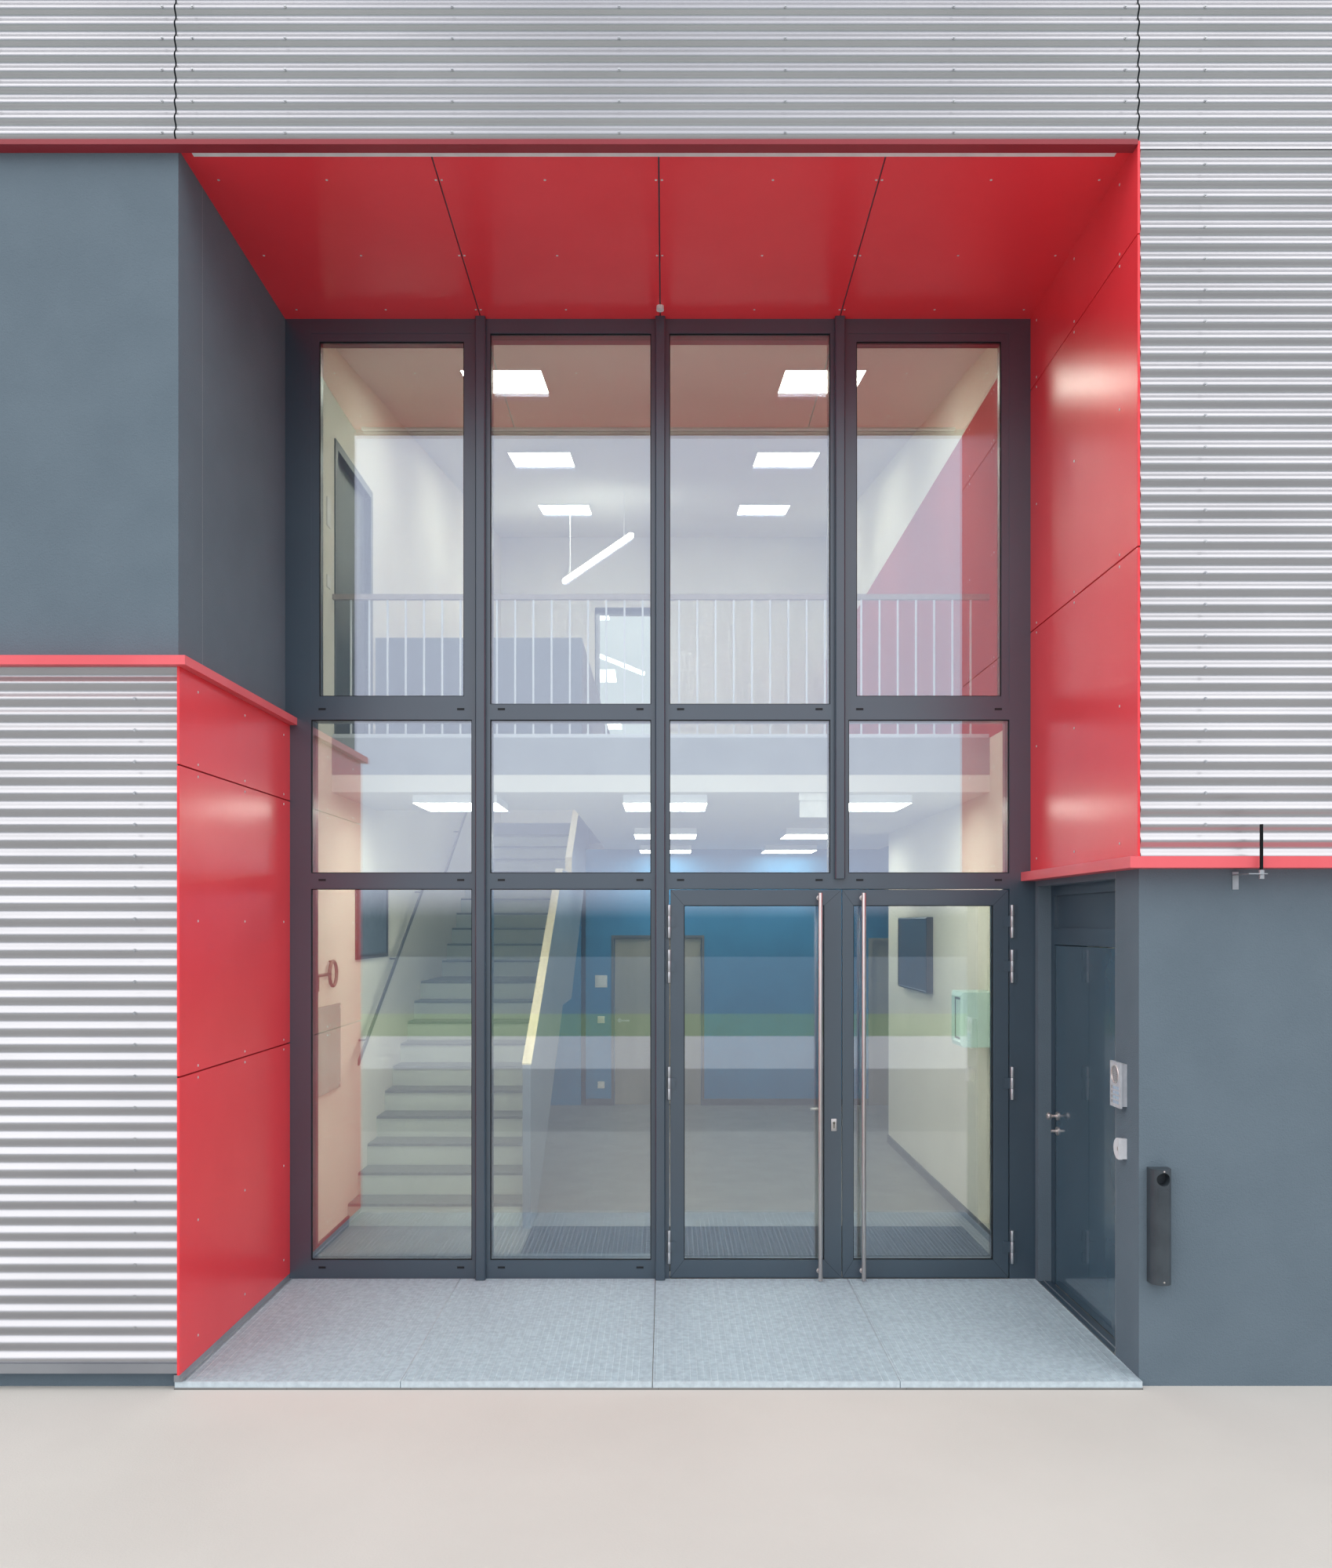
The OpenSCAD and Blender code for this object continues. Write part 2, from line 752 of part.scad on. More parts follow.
module rear_door_leaf() {
    color("tan") {
        block(rear_leaf_x, rear_leaf_y, [leaf_foot, rear_door_top - leaf_gap]);
        for (z = [240, 1780]) {
            rod_z(rear_axis[0], rear_axis[1], [z, z + 100], 16);
            block([rear_axis[0] - 40, rear_axis[0]], [rear_leaf_y[1] - lap, rear_axis[1]],
                  [z, z + 100]);
        }
    }
}

// Flat levers on round roses, on both faces of the rear door
module rear_door_lever() {
    x = rear_leaf_x[0] + 50;
    color("silver") for (side = [0, 1])
        translate([x, rear_leaf_y[side], 1080]) scale([1, side == 0 ? -1 : 1, 1]) {
            translate([8, 0, 0]) rotate([-90, 0, 0]) cylinder(h = 3, d = 50);
            block([0, 16], [0, 45], [-8, 8]);
            block([0, 130], [39, 45], [-10, 10]);
        }
}

// Sawtooth slab of both flights and the landing
module stair_flights() {
    top = [for (i = [1 : risers - 1], k = [0, 1]) [
        k == 0 ? step_y(i) : step_y(i + 1), step_z(i) - tread_t
    ]];
    color("linen") along_x(concat(
        [[first_riser_y, floor_z]], top,
        [
            [stairwell_y[1], gallery_z[0]],
            [stairwell_y[1] - 260, gallery_z[0] - 260 * pitch],
            [upper_riser_y, step_z(landing_step) - waist],
            [landing_y + 60, step_z(landing_step) - waist],
            [first_riser_y + 300, floor_z]
        ]
    ), stair_x);
}

// Tread slabs, one on every step, and the slab on the landing
module stair_treads() {
    nose = 12;
    color("dimgray") for (i = [1 : risers - 1])
        block([stair_x[0] + 5, stair_x[1] - 5], [step_y(i) - nose, step_y(i + 1) - 1],
              [step_z(i) - tread_t, step_z(i)]);
}

// Solid panel on the open side of the stair, and the guard round the stairwell
module stair_balustrade() {
    panel_x = [stair_x[1], stair_x[1] + guard_t];
    foot_y = first_riser_y - 60;
    top = stair_guard_h;
    low = waist + 40;
    color("lightslategray") {
        along_x([
            [foot_y, floor_z], [foot_y, nosing_z(foot_y) + top],
            [landing_y, step_z(landing_step) + top],
            [upper_riser_y - 10, step_z(landing_step) + top],
            [upper_riser_y, step_z(landing_step + 1) + top],
            [stairwell_y[1], step_z(risers) + top],
            [stairwell_y[1], gallery_z[0]],
            [upper_riser_y, step_z(landing_step) - low],
            [landing_y + 60, step_z(landing_step) - low],
            [first_riser_y + 340, floor_z]
        ], panel_x);
        upright([
            [-foyer_half, stairwell_y[0]], [-foyer_half, stairwell_y[0] - guard_t],
            [stairwell_x[1] + guard_t, stairwell_y[0] - guard_t],
            [stairwell_x[1] + guard_t, stairwell_y[1]], [stairwell_x[1], stairwell_y[1]],
            [stairwell_x[1], stairwell_y[0]]
        ], [gallery_z[1], gallery_z[1] + guard_h]);
    }
}

// A flat bar that follows the nosings at the given height
module pitch_bar(x, h, t, y0, y1) {
    along_x([
        [y0, nosing_z(y0) + h], [landing_y, step_z(landing_step) + h],
        [upper_riser_y - going, step_z(landing_step) + h], [y1, nosing_z(y1) + h],
        [y1, nosing_z(y1) + h - t], [upper_riser_y - going, step_z(landing_step) + h - t],
        [landing_y, step_z(landing_step) + h - t], [y0, nosing_z(y0) + h - t]
    ], x);
}

// Wall rail on brackets, and the rail on the balustrade
module stair_handrails() {
    rail_x = [-foyer_half + 60, -foyer_half + 72];
    color("tan") {
        pitch_bar(rail_x, 1020, 45, first_riser_y + 50, stairwell_y[1] - 60);
        for (y = [-2400 : 1000 : 3600])
            block([-foyer_half, rail_x[0] + lap], [y, y + 14],
                  [nosing_z(y) + 985, nosing_z(y) + 999]);
    }
}

// Handrail, bars and foot rail along the front edge of the gallery
module gallery_railing() {
    y = [gallery_front + 20, gallery_front + 32];
    bars = 35;
    space = 2 * foyer_half / (bars + 1);
    color("lightsteelblue") {
        block([-foyer_half, foyer_half], [y[0] - 14, y[1] + 14], [4532, 4567]);
        block([-foyer_half, foyer_half], y, [gallery_z[1], gallery_z[1] + 30]);
        for (i = [1 : bars])
            block([-foyer_half + i * space - 6, -foyer_half + i * space + 6], y,
                  [gallery_z[1], 4540]);
    }
}

// A light set into the sloping ceiling
module slope_light(x, y) {
    size = 600;
    along_x([
        [y, ceiling_at(y)], [y, ceiling_at(y) - 12],
        [y + size, ceiling_at(y + size) - 12], [y + size, ceiling_at(y + size)]
    ], [x - size / 2, x + size / 2]);
}

module board_light(x, y) {
    block([x - 300, x + 300], [y, y + 600], [board_z - 60, board_z]);
}

// Square lights on both ceilings, the slanted tube on two rods over the stair,
// and the light strip and the round sensor under the porch soffit
module ceiling_lights() {
    color("white") {
        for (x = [30, 1490], y = [-2950, -50, 2320]) board_light(x, y);
        board_light(-1470, -2950);
        for (x = [-1200, 1230], y = [-2550, 100, 2840]) slope_light(x, y);
        tube = [[-350, 1860, 6600], [-1260, 3630, 6600]];
        run = tube[1] - tube[0];
        translate(tube[0]) rotate([0, 0, atan2(run[1], run[0])])
            translate([0, -22, 0]) cube([norm(run), 44, 50]);
        for (t = [0.1, 0.9]) {
            at = tube[0] + t * run;
            rod_z(at[0], at[1], [6640, ceiling_at(at[1] - 3)], 6);
        }
        block([-2285, 2240], [-face_y, -face_y + 40], [soffit_z - 12, soffit_z]);
        rod_z(0, glazing_y - 150, [soffit_z - 25, soffit_z], 46);
    }
}

// Closed door from the gallery into the left wing
module gallery_door() {
    color("darkslategray") difference() {
        block([-foyer_half - 110, -foyer_half + 10], gallery_door_y, gallery_door_z);
        block([-foyer_half - 40, -foyer_half + 10 + lap], [gallery_door_y[0] + 60, gallery_door_y[1] - 60],
              [gallery_door_z[0] - lap, gallery_door_z[1] - 60]);
    }
}

// A window frame with its metal lining, sill and middle rail, facing +Y at y = 0 crest
module window_frame() {
    w = window_w / 2;
    z = window_z;
    frame_y = [-190, -120];
    line_t = 6;
    difference() {
        union() {
            block([-w, w], [frame_y[0], 5], z);
            block([-w - window_rim, w + window_rim], [0, 5], [z[0] - window_rim, z[1] + window_rim]);
        }
        block([-w + line_t, w - line_t], [frame_y[1], 5 + lap], [z[0] + line_t, z[1] - line_t]);
        block([-w + 60, w - 60], [frame_y[0] - lap, 0], [z[0] + 60, z[1] - 60]);
    }
    block([-w - 15, w + 15], [5 - lap, 40], [z[0] - 25, z[0] - 5]);
}

module each_window() {
    for (x = back_window_x) translate([x, half_depth, 0]) children();
    for (y = side_window_y) {
        translate([half_width, y, 0]) rotate(-90) children();
        translate([-half_width, y, 0]) rotate(90) children();
    }
}

module window_frames() { color("darkslategray") each_window() window_frame(); }

module window_glass() {
    color("lightblue", 0.4) each_window()
        block([-window_w / 2 + 60, window_w / 2 - 60], [-170, -140], [window_z[0] + 60, window_z[1] - 60]);
}

// Door station on the end face of the right front wall
module intercom() {
    y = [-5450, -5320];
    z = [1331, 1560];
    color("silver") difference() {
        union() {
            block([porch_half - 27, porch_half], [y[0] + 8, y[1] - 8], [z[0] + 8, z[1] - 8]);
            block([porch_half - 39, porch_half - 27], y, z);
        }
        translate([porch_half - 39 - lap, (y[0] + y[1]) / 2, z[1] - 63])
            rotate([0, 90, 0]) cylinder(h = 4, d = 88);
        for (i = [-1.5 : 1.5], j = [0 : 3])
            translate([porch_half - 39 - lap, (y[0] + y[1]) / 2 + i * 26 - 9, z[0] + 18 + j * 24])
                cube([3, 18, 16]);
    }
}

// Key switch below the intercom, half-round towards the door
module key_switch() {
    y = -5424;
    z = 1128;
    r = 53;
    step_x = porch_half - 22;
    front_x = porch_half - 41;
    function outline(r) = concat(
        [[y - r / 3, z - r]],
        [for (a = [-90 : 10 : 90]) [y + r * cos(a), z + r * sin(a)]],
        [[y - r / 3, z + r]]
    );
    color("whitesmoke") difference() {
        union() {
            along_x(outline(r - 2), [step_x, porch_half]);
            along_x(outline(r), [front_x, step_x]);
        }
        translate([front_x - lap, y, z]) rotate([0, 90, 0]) cylinder(h = 8, d = 22);
    }
}

// Half-round ashtray on the front wall, with a round mouth near its top
module ashtray() {
    x = 2433;
    r = 50;
    out = -face_y - 35;
    z = [513, 1070];
    color("dimgray") difference() {
        upright(concat(
            [[x - r, -face_y]],
            [for (a = [180 : 10 : 360]) [x + r * cos(a), out + r * sin(a)]],
            [[x + r, -face_y]]
        ), z);
        translate([x, out - r - lap, z[1] - 46]) rotate([-90, 0, 0]) cylinder(h = 60, d = 64);
    }
}

// Short rod aerial on a bent bracket
module antenna() {
    x = 2870;
    y = -face_y - 145;
    color("silver") {
        block([x - 70, x - 40], [-face_y - 4, -face_y], [2424, 2510]);
        block([x - 70, x - 40], [-face_y - 70, -face_y - 3], [2492, 2496]);
        block([x - 70, x + 20], [y - 20, -face_y - 69], [2492, 2496]);
        rod_z(x, y, [2470, 2512], 26);
        rod_z(x, y, [2510, 2730], 16);
    }
}

floor_slab();
entrance_grating();
left_wall();
right_wall();
back_wall();
front_left_wall();
front_right_wall();
front_top_wall();
foyer_left_wall();
foyer_right_wall();
recess_right_wall();
rear_partition();
skirting();
entrance_mat();
corridor_door();
gallery_floor();
side_floors();
foyer_ceilings();
roof_slab();
parapet_coping();
soffit_panels();
reveal_panels();
red_trims();
cladding_profiles();
cladding_front();
cladding_left();
cladding_right();
cladding_back();
facade_posts();
facade_transoms();
mullion_caps();
casement_frames();
facade_glass();
hinge_barrels();
side_door_frame();
stair_flights();
stair_treads();
stair_balustrade();
stair_handrails();
gallery_railing();
ceiling_lights();
gallery_door();
window_frames();
window_glass();
intercom();
key_switch();
ashtray();
antenna();
left_door_leaf();
left_door_glass();
left_door_pull();
right_door_leaf();
right_door_glass();
right_door_pull();
side_door_leaf();
side_door_knob();
rear_door_leaf();
rear_door_lever();
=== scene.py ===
"""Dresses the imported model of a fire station's entrance building for rendering. Lengths are metres."""

import math

import bpy
from mathutils import Matrix, Vector


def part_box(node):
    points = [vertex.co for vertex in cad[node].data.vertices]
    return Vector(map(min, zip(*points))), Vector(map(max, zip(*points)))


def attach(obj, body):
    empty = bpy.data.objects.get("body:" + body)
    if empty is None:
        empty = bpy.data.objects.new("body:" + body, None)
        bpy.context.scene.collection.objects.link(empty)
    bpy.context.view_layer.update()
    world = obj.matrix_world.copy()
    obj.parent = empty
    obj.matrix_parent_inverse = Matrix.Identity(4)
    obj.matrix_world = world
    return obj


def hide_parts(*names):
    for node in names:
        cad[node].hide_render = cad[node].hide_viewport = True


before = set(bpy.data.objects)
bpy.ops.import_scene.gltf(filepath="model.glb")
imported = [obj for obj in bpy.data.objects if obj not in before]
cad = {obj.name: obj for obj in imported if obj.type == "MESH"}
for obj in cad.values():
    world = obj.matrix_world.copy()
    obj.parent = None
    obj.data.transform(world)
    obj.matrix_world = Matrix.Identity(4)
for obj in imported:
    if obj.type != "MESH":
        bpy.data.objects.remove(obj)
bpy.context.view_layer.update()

# Daylight
# A bright overcast sky lights the building evenly from all sides, and two weak, very soft suns stand in
# front of it to the left and the right, so that both porch walls are lit. What is seen of the sky is a pale
# haze, and what glass mirrors of it ends at a dark horizon.
scene = bpy.context.scene
scene.view_settings.view_transform = "Standard"


def linear(hex_colour):
    """A colour as linear RGBA, from its sRGB hex value."""
    shares = [int(hex_colour[i:i + 2], 16) / 255 for i in (0, 2, 4)]
    return [s / 12.92 if s <= 0.04045 else ((s + 0.055) / 1.055) ** 2.4 for s in shares] + [1.0]


def plug(tree, node, inputs):
    """Puts values, hex colours or outputs on a node's inputs. A node there stands for its first output."""
    for socket, value in inputs.items():
        if isinstance(value, bpy.types.Node):
            value = value.outputs[0]
        if isinstance(value, bpy.types.NodeSocket):
            tree.links.new(value, node.inputs[socket])
        else:
            node.inputs[socket].default_value = linear(value) if isinstance(value, str) else value


def add_node(tree, kind, inputs=(), **settings):
    """Adds a node with its settings and inputs."""
    made = tree.nodes.new("ShaderNode" + kind)
    for name, value in settings.items():
        setattr(made, name, value)
    plug(tree, made, dict(inputs))
    return made


world = bpy.data.worlds.new("overcast_sky")
scene.world = world
world.use_nodes = True
sky = world.node_tree
sky.nodes.clear()
rays = add_node(sky, "LightPath")
direct = add_node(
    sky, "Math", {0: rays.outputs["Is Camera Ray"], 1: rays.outputs["Is Transmission Ray"]},
    operation="MAXIMUM")
way = add_node(sky, "TexCoord")
height = add_node(sky, "SeparateXYZ", {0: way.outputs["Generated"]})
horizon = add_node(sky, "MapRange", {0: height.outputs["Z"], 1: 0.006, 2: 0.035})
mirrored = add_node(sky, "Mix", {0: horizon, 6: "566b78", 7: "eff3ff"}, data_type="RGBA")
daylight = add_node(sky, "Background", {"Color": "f6f9ff", "Strength": 1.05})
reflected = add_node(sky, "Background", {"Color": mirrored.outputs[2], "Strength": 1.06})
haze = add_node(sky, "Background", {"Color": "f7f9fd", "Strength": 1.0})
unseen = add_node(sky, "MixShader", {0: rays.outputs["Is Glossy Ray"], 1: daylight, 2: reflected})
either = add_node(sky, "MixShader", {0: direct, 1: unseen, 2: haze})
add_node(sky, "OutputWorld", {"Surface": either})

bpy.ops.object.select_all(action="DESELECT")
sun_height = math.radians(42)
for name, turn in (("left_soft_sun", -55), ("right_soft_sun", 55)):
    bpy.ops.object.light_add(
        type="SUN", location=(turn / 4, -20, 20), rotation=(math.pi / 2 - sun_height, 0, math.radians(turn)))
    sun = bpy.context.object
    sun.name = name
    sun.data.energy = 0.9
    sun.data.angle = math.radians(60)
    sun.data.color = linear("fffaf2")[:3]

# Paving
# Plain pale stone paving, fine and matt. It only carries the building's shadow and throws light back up
# under the porch, so it has no joints. What the glass mirrors of it is painted reflection: a duller grey
# near the building, then bands of dark grey, pale grey, green and dark blue-grey further off.


def new_material(name, colour, roughness, metallic=0.0, sockets=None):
    """A material with one shader and these plain values on it. Returns material, tree and shader."""
    material = bpy.data.materials.new(name)
    material.use_nodes = True
    tree = material.node_tree
    shader = tree.nodes["Principled BSDF"]
    plug(tree, shader, {"Base Color": colour, "Roughness": roughness, "Metallic": metallic})
    plug(tree, shader, sockets or {})
    return material, tree, shader


def clouds(tree, size, detail, stretch=(1, 1, 1)):
    """Soft spots about size metres across."""
    place = add_node(tree, "TexCoord")
    spot = add_node(tree, "Mapping", {"Vector": place.outputs["Object"], "Scale": stretch})
    return add_node(tree, "TexNoise", {"Vector": spot, "Scale": 1 / size, "Detail": detail})


def two_tones(tree, colour, shade, patch, stretch=(1, 1, 1)):
    """Slow patches between two tones, about patch metres across."""
    ramp = add_node(tree, "ValToRGB", {"Fac": clouds(tree, patch, 5.0, stretch)})
    for stop, position, tone in zip(ramp.color_ramp.elements, (0.36, 0.64), (shade, colour)):
        stop.position = position
        stop.color = linear(tone)
    return ramp


def coat(name, colour, shade, patch, roughness, metallic=0.0, relief=None, stretch=(1, 1, 1), sockets=None):
    """A material in two tones. Its relief is given as the width and the depth of its grains."""
    material, tree, shader = new_material(name, colour, roughness, metallic, sockets)
    plug(tree, shader, {"Base Color": two_tones(tree, colour, shade, patch, stretch)})
    if relief:
        grain, depth = relief
        bump = add_node(tree, "Bump", {"Height": clouds(tree, grain, 2.0), "Distance": depth})
        plug(tree, shader, {"Normal": bump})
    return material


def opened(material):
    """A material's tree, its shader, and the tones that reach it."""
    tree = material.node_tree
    shader = tree.nodes["Principled BSDF"]
    return tree, shader, shader.inputs["Base Color"].links[0].from_socket


paving_size = 160
painted_reflection_bands = ((-9.4, "87888a"), (-15.0, "c0c1bf"), (-20.4, "6f8a66"), (-26.4, "566b78"))
paving_stone = coat("paving_stone", "d1cec9", "cac7c2", 1.6, 0.9, relief=(0.01, 0.001))
tree, shader, stone_tones = opened(paving_stone)
rays = add_node(tree, "LightPath")
place = add_node(tree, "TexCoord")
at = add_node(tree, "SeparateXYZ", {0: place.outputs["Object"]})
# Painted reflection: mirror rays see a duller grey near the building and painted bands further off, not the
# stone's own colour.
seen = "a2a3a1"
for edge, tone in painted_reflection_bands:
    past = add_node(tree, "Math", {0: at.outputs["Y"], 1: edge}, operation="LESS_THAN")
    seen = add_node(tree, "Mix", {0: past, 6: seen, 7: tone}, data_type="RGBA").outputs[2]
stone = add_node(tree, "Mix", {0: rays.outputs["Is Glossy Ray"], 6: stone_tones, 7: seen}, data_type="RGBA")
plug(tree, shader, {"Base Color": stone.outputs[2]})
bpy.ops.mesh.primitive_plane_add(size=paving_size)
paving = bpy.context.object
paving.name = "paving"
paving.data.materials.append(paving_stone)

# Camera
# It stands eleven metres in front of the middle of the building at the height of an eye on a low
# step, looks level, and takes in more above than below.
photo_height = 2000
focal_pixels = 1500
horizon_row = 1180
sensor = 36
bpy.ops.object.camera_add(location=(0.036, -11.332, 2.25), rotation=(math.pi / 2, 0, 0))
camera = bpy.context.object
camera.name = "photo_camera"
camera.data.sensor_width = sensor
camera.data.lens = sensor * focal_pixels / photo_height
camera.data.shift_y = (horizon_row - photo_height / 2) / photo_height
camera.data.clip_end = 400
scene.camera = camera

# Rendered walls
# Masonry with mineral scratch render of 3 mm grain, dyed slate grey in the mass, and white plaster on
# the room side. The grain is drawn at 7 mm, because 3 mm is under a pixel at this distance.
slate = ("667682", "62727e", 0.35)
white_plaster = ("e4e2db", "dedbd3", 0.8)
matt = 0.88
render_grain = (0.007, 0.0025)
room_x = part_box("right_wall")[0].x + 0.001
room_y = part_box("back_wall")[0].y + 0.001
porch_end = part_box("facade_posts")[1].y - 0.01
parapet_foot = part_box("roof_slab")[1].z - 0.01


def wear(material, *names):
    """Gives CAD nodes a material."""
    for name in names:
        mesh = cad[name].data
        mesh.materials.clear()
        mesh.materials.append(material)


def repaint(material, tones, limits):
    """Puts other tones on a surface where it passes one of the limits. A limit is an axis, the side of it
    that is repainted (1 or -1), and where that side begins."""
    tree, shader, ground = opened(material)
    place = add_node(tree, "TexCoord")
    at = add_node(tree, "SeparateXYZ", {0: place.outputs["Object"]})
    past = 0.0
    for axis, side, edge in limits:
        passed = add_node(tree, "Math", {0: at.outputs[axis], 1: edge},
                          operation="GREATER_THAN" if side > 0 else "LESS_THAN")
        past = add_node(tree, "Math", {0: past, 1: passed}, operation="MAXIMUM")
    mix = add_node(tree, "Mix", {0: past, 6: ground, 7: two_tones(tree, *tones)}, data_type="RGBA")
    plug(tree, shader, {"Base Color": mix.outputs[2]})
    return material


wall_render = repaint(coat("slate_scratch_render", *white_plaster, matt, relief=render_grain), slate, [
    ("X", 1, room_x), ("X", -1, -room_x), ("Y", 1, room_y), ("Y", -1, -room_y), ("Z", 1, parapet_foot)])
wear(wall_render, "left_wall", "right_wall", "back_wall", "front_left_wall", "front_right_wall")
on_porch = [("Y", -1, porch_end)]
porch_render = coat("porch_scratch_render", *white_plaster, matt, relief=render_grain)
wear(repaint(porch_render, slate, on_porch), "front_top_wall", "recess_right_wall")

# Foyer walls
# The walls between foyer and wings: smooth plaster painted warm cream with a roller, and in the porch the
# same slate render as outside.
cream = ("e6e1d2", "e0dacb", 0.8)
foyer_plaster = coat("cream_plaster", *cream, matt, relief=render_grain)
wear(repaint(foyer_plaster, slate, on_porch), "foyer_left_wall")

# Red field, partly painted reflection
# On the gallery's level the right wall of the foyer is coloured dark red, up to a straight edge at the height
# of the porch soffit. The red is partly red paint and partly painted reflection of the red soffit and reveals
# that the glazing mirrors there.
red_paint_and_reflection_field = (3.56, 5.99)
# This red is partly paint and partly painted reflection of the mirrored red soffit and reveals.
plaster_with_red_paint_and_reflection = coat("cream_plaster_red_paint_and_reflection", "a9504f", "a24b4b", 0.6, matt, relief=render_grain)
repaint(plaster_with_red_paint_and_reflection, cream, [("Z", -1, red_paint_and_reflection_field[0]), ("Z", 1, red_paint_and_reflection_field[1])])
wear(repaint(plaster_with_red_paint_and_reflection, slate, on_porch), "foyer_right_wall")

# Rear wall of the foyer
# A thin plastered wall painted strong blue with a roller, which leaves a faint orange-peel surface, and
# dark stained timber skirting boards along the feet of the walls.
wear(coat("blue_wall_paint", "2a7aa7", "24709c", 0.5, 0.55, relief=(0.004, 0.0004)), "rear_partition")
wear(coat("stained_timber", "5b5e60", "4c4f51", 0.06, 0.45, stretch=(0.2, 0.2, 1)), "skirting")

# Ground floor
# Pale grey stone tiles of 60 by 30 cm laid in mortar on the slab, with narrow joints.
tile_size = 0.6


def lay(material, length, width, joint, second, mortar):
    """Lays a material in courses with joints. Second and mortar are how bright every other piece and the
    joints are, as shares of the first."""
    tree, shader, tones = opened(material)
    place = add_node(tree, "TexCoord")
    laid = add_node(tree, "TexBrick", {
        "Vector": place.outputs["Object"], "Scale": 1.0, "Mortar Size": joint, "Brick Width": length,
        "Row Height": width, "Color1": (1, 1, 1, 1), "Color2": (second, second, second, 1),
        "Mortar": (mortar, mortar, mortar, 1)})
    mix = add_node(tree, "Mix", {0: 1.0, 6: tones, 7: laid}, data_type="RGBA", blend_type="MULTIPLY")
    plug(tree, shader, {"Base Color": mix.outputs[2]})
    return material


tiles = coat("floor_tiles", "858684", "797a78", 0.25, 0.38)
wear(lay(tiles, tile_size, tile_size / 2, 0.003, 0.96, 0.72), "floor_slab")

# Entrance mat
# Ribbed rubber and needle felt strips laid in a flat aluminium edge. The ribs are drawn 24 mm apart,
# because real ones are finer than a pixel here.
rib_step = 0.024
ribbed_mat, tree, shader = new_material("ribbed_mat", "4a504f", 0.85)
place = add_node(tree, "TexCoord")
ribs = add_node(tree, "TexWave", {"Vector": place.outputs["Object"], "Scale": math.pi / rib_step / 10},
                bands_direction="X")
felt = add_node(tree, "TexNoise", {"Vector": place.outputs["Object"], "Scale": 40.0})
worn = add_node(tree, "Math", {0: ribs.outputs["Fac"], 1: felt}, operation="MULTIPLY")
tone = add_node(tree, "Mix", {0: worn, 6: "151817", 7: "3c4240"}, data_type="RGBA")
bump = add_node(tree, "Bump", {"Height": ribs.outputs["Fac"], "Distance": 0.002})
plug(tree, shader, {"Base Color": tone.outputs[2], "Normal": bump})
wear(ribbed_mat, "entrance_mat")

# Gallery
# Fair-faced concrete slabs, sealed on top, with faint clouds from the formwork on their edges.
concrete = coat("fair_faced_concrete", "94989b", "868a8d", 0.45, 0.7, relief=(0.006, 0.0005))
wear(concrete, "gallery_floor", "side_floors")

# Ceilings
# White skimmed plasterboard, under the gallery and on the slope under the roof.
wear(coat("skimmed_plasterboard", "dad7d0", "d4d1ca", 1.2, 0.85, relief=(0.003, 0.0002)), "foyer_ceilings")

# Grating
# Hot-dip galvanised pressed steel grating in four panels: flat bearing bars every 33 mm, thin cross
# bars every 11 mm pressed in between, and a welded flat edge bar. The zinc has dull grey spangles.
bearing_step = 0.0333
cross_step = 0.0111
bar_width = 0.003
edge_bar = 0.004
panel_seams = [-2.345, -1.25, -0.03, 1.17, 2.345]
seam_half = 0.002
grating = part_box("entrance_grating")
grating_y = (grating[0].y, grating[1].y)
field_y = (grating_y[0] + edge_bar, grating_y[1] - edge_bar)
pit_z, grating_top = grating[0].z, grating[1].z


def take(made):
    """Leaves edit mode, and makes one object the only selected one, and the active one."""
    if bpy.context.object and bpy.context.object.mode != "OBJECT":
        bpy.ops.object.mode_set(mode="OBJECT")
    bpy.ops.object.select_all(action="DESELECT")
    made.select_set(True)
    bpy.context.view_layer.objects.active = made


def modify(made, kind, **settings):
    """Applies one modifier with these settings to a part."""
    take(made)
    added = made.modifiers.new(kind, kind)
    for name, value in settings.items():
        setattr(added, name, value)
    bpy.ops.object.modifier_apply(modifier=added.name)
    return made


def bevel(made, width):
    """Rounds the edges that turn more sharply than 50 degrees."""
    return modify(made, "BEVEL", width=width, segments=2, limit_method="ANGLE", angle_limit=math.radians(50))


def block(x, y, z, edge=0.0):
    """A block between two corners, given as ranges along X, Y and Z, its edges rounded by edge."""
    bpy.ops.mesh.primitive_cube_add(size=1, location=[(a + b) / 2 for a, b in (x, y, z)])
    made = bpy.context.object
    made.scale = [b - a for a, b in (x, y, z)]
    bpy.ops.object.transform_apply()
    return bevel(made, edge) if edge else made


def repeat(made, count, step, welded=False):
    """A row of copies of a part, count in all, each set off by step from the one before."""
    return modify(made, "ARRAY", count=count, use_relative_offset=False, use_constant_offset=True,
                  constant_offset_displace=step, use_merge_vertices=welded, merge_threshold=0.0002)


def join(parts):
    """Joins parts into the first of them."""
    take(parts[0])
    for part in parts:
        part.select_set(True)
    if len(parts) > 1:
        bpy.ops.object.join()
    return parts[0]


def spread(made, places):
    """Copies a part to every place, each given as an offset, and joins the copies."""
    parts = []
    for place in places:
        part = made.copy()
        part.data = made.data.copy()
        part.data.transform(Matrix.Translation(place))
        scene.collection.objects.link(part)
        parts.append(part)
    bpy.data.objects.remove(made)
    return join(parts)


def piece(made, name, material, body="building", smooth=None, stands_for=()):
    """Names a piece, gives it its material and body, and shades edges under smooth degrees round."""
    take(made)
    made.name = name
    made.data.name = name
    made.data.materials.clear()
    made.data.materials.append(material)
    if smooth:
        bpy.ops.object.shade_smooth_by_angle(angle=math.radians(smooth))
    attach(made, body)
    if stands_for:
        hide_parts(*stands_for)


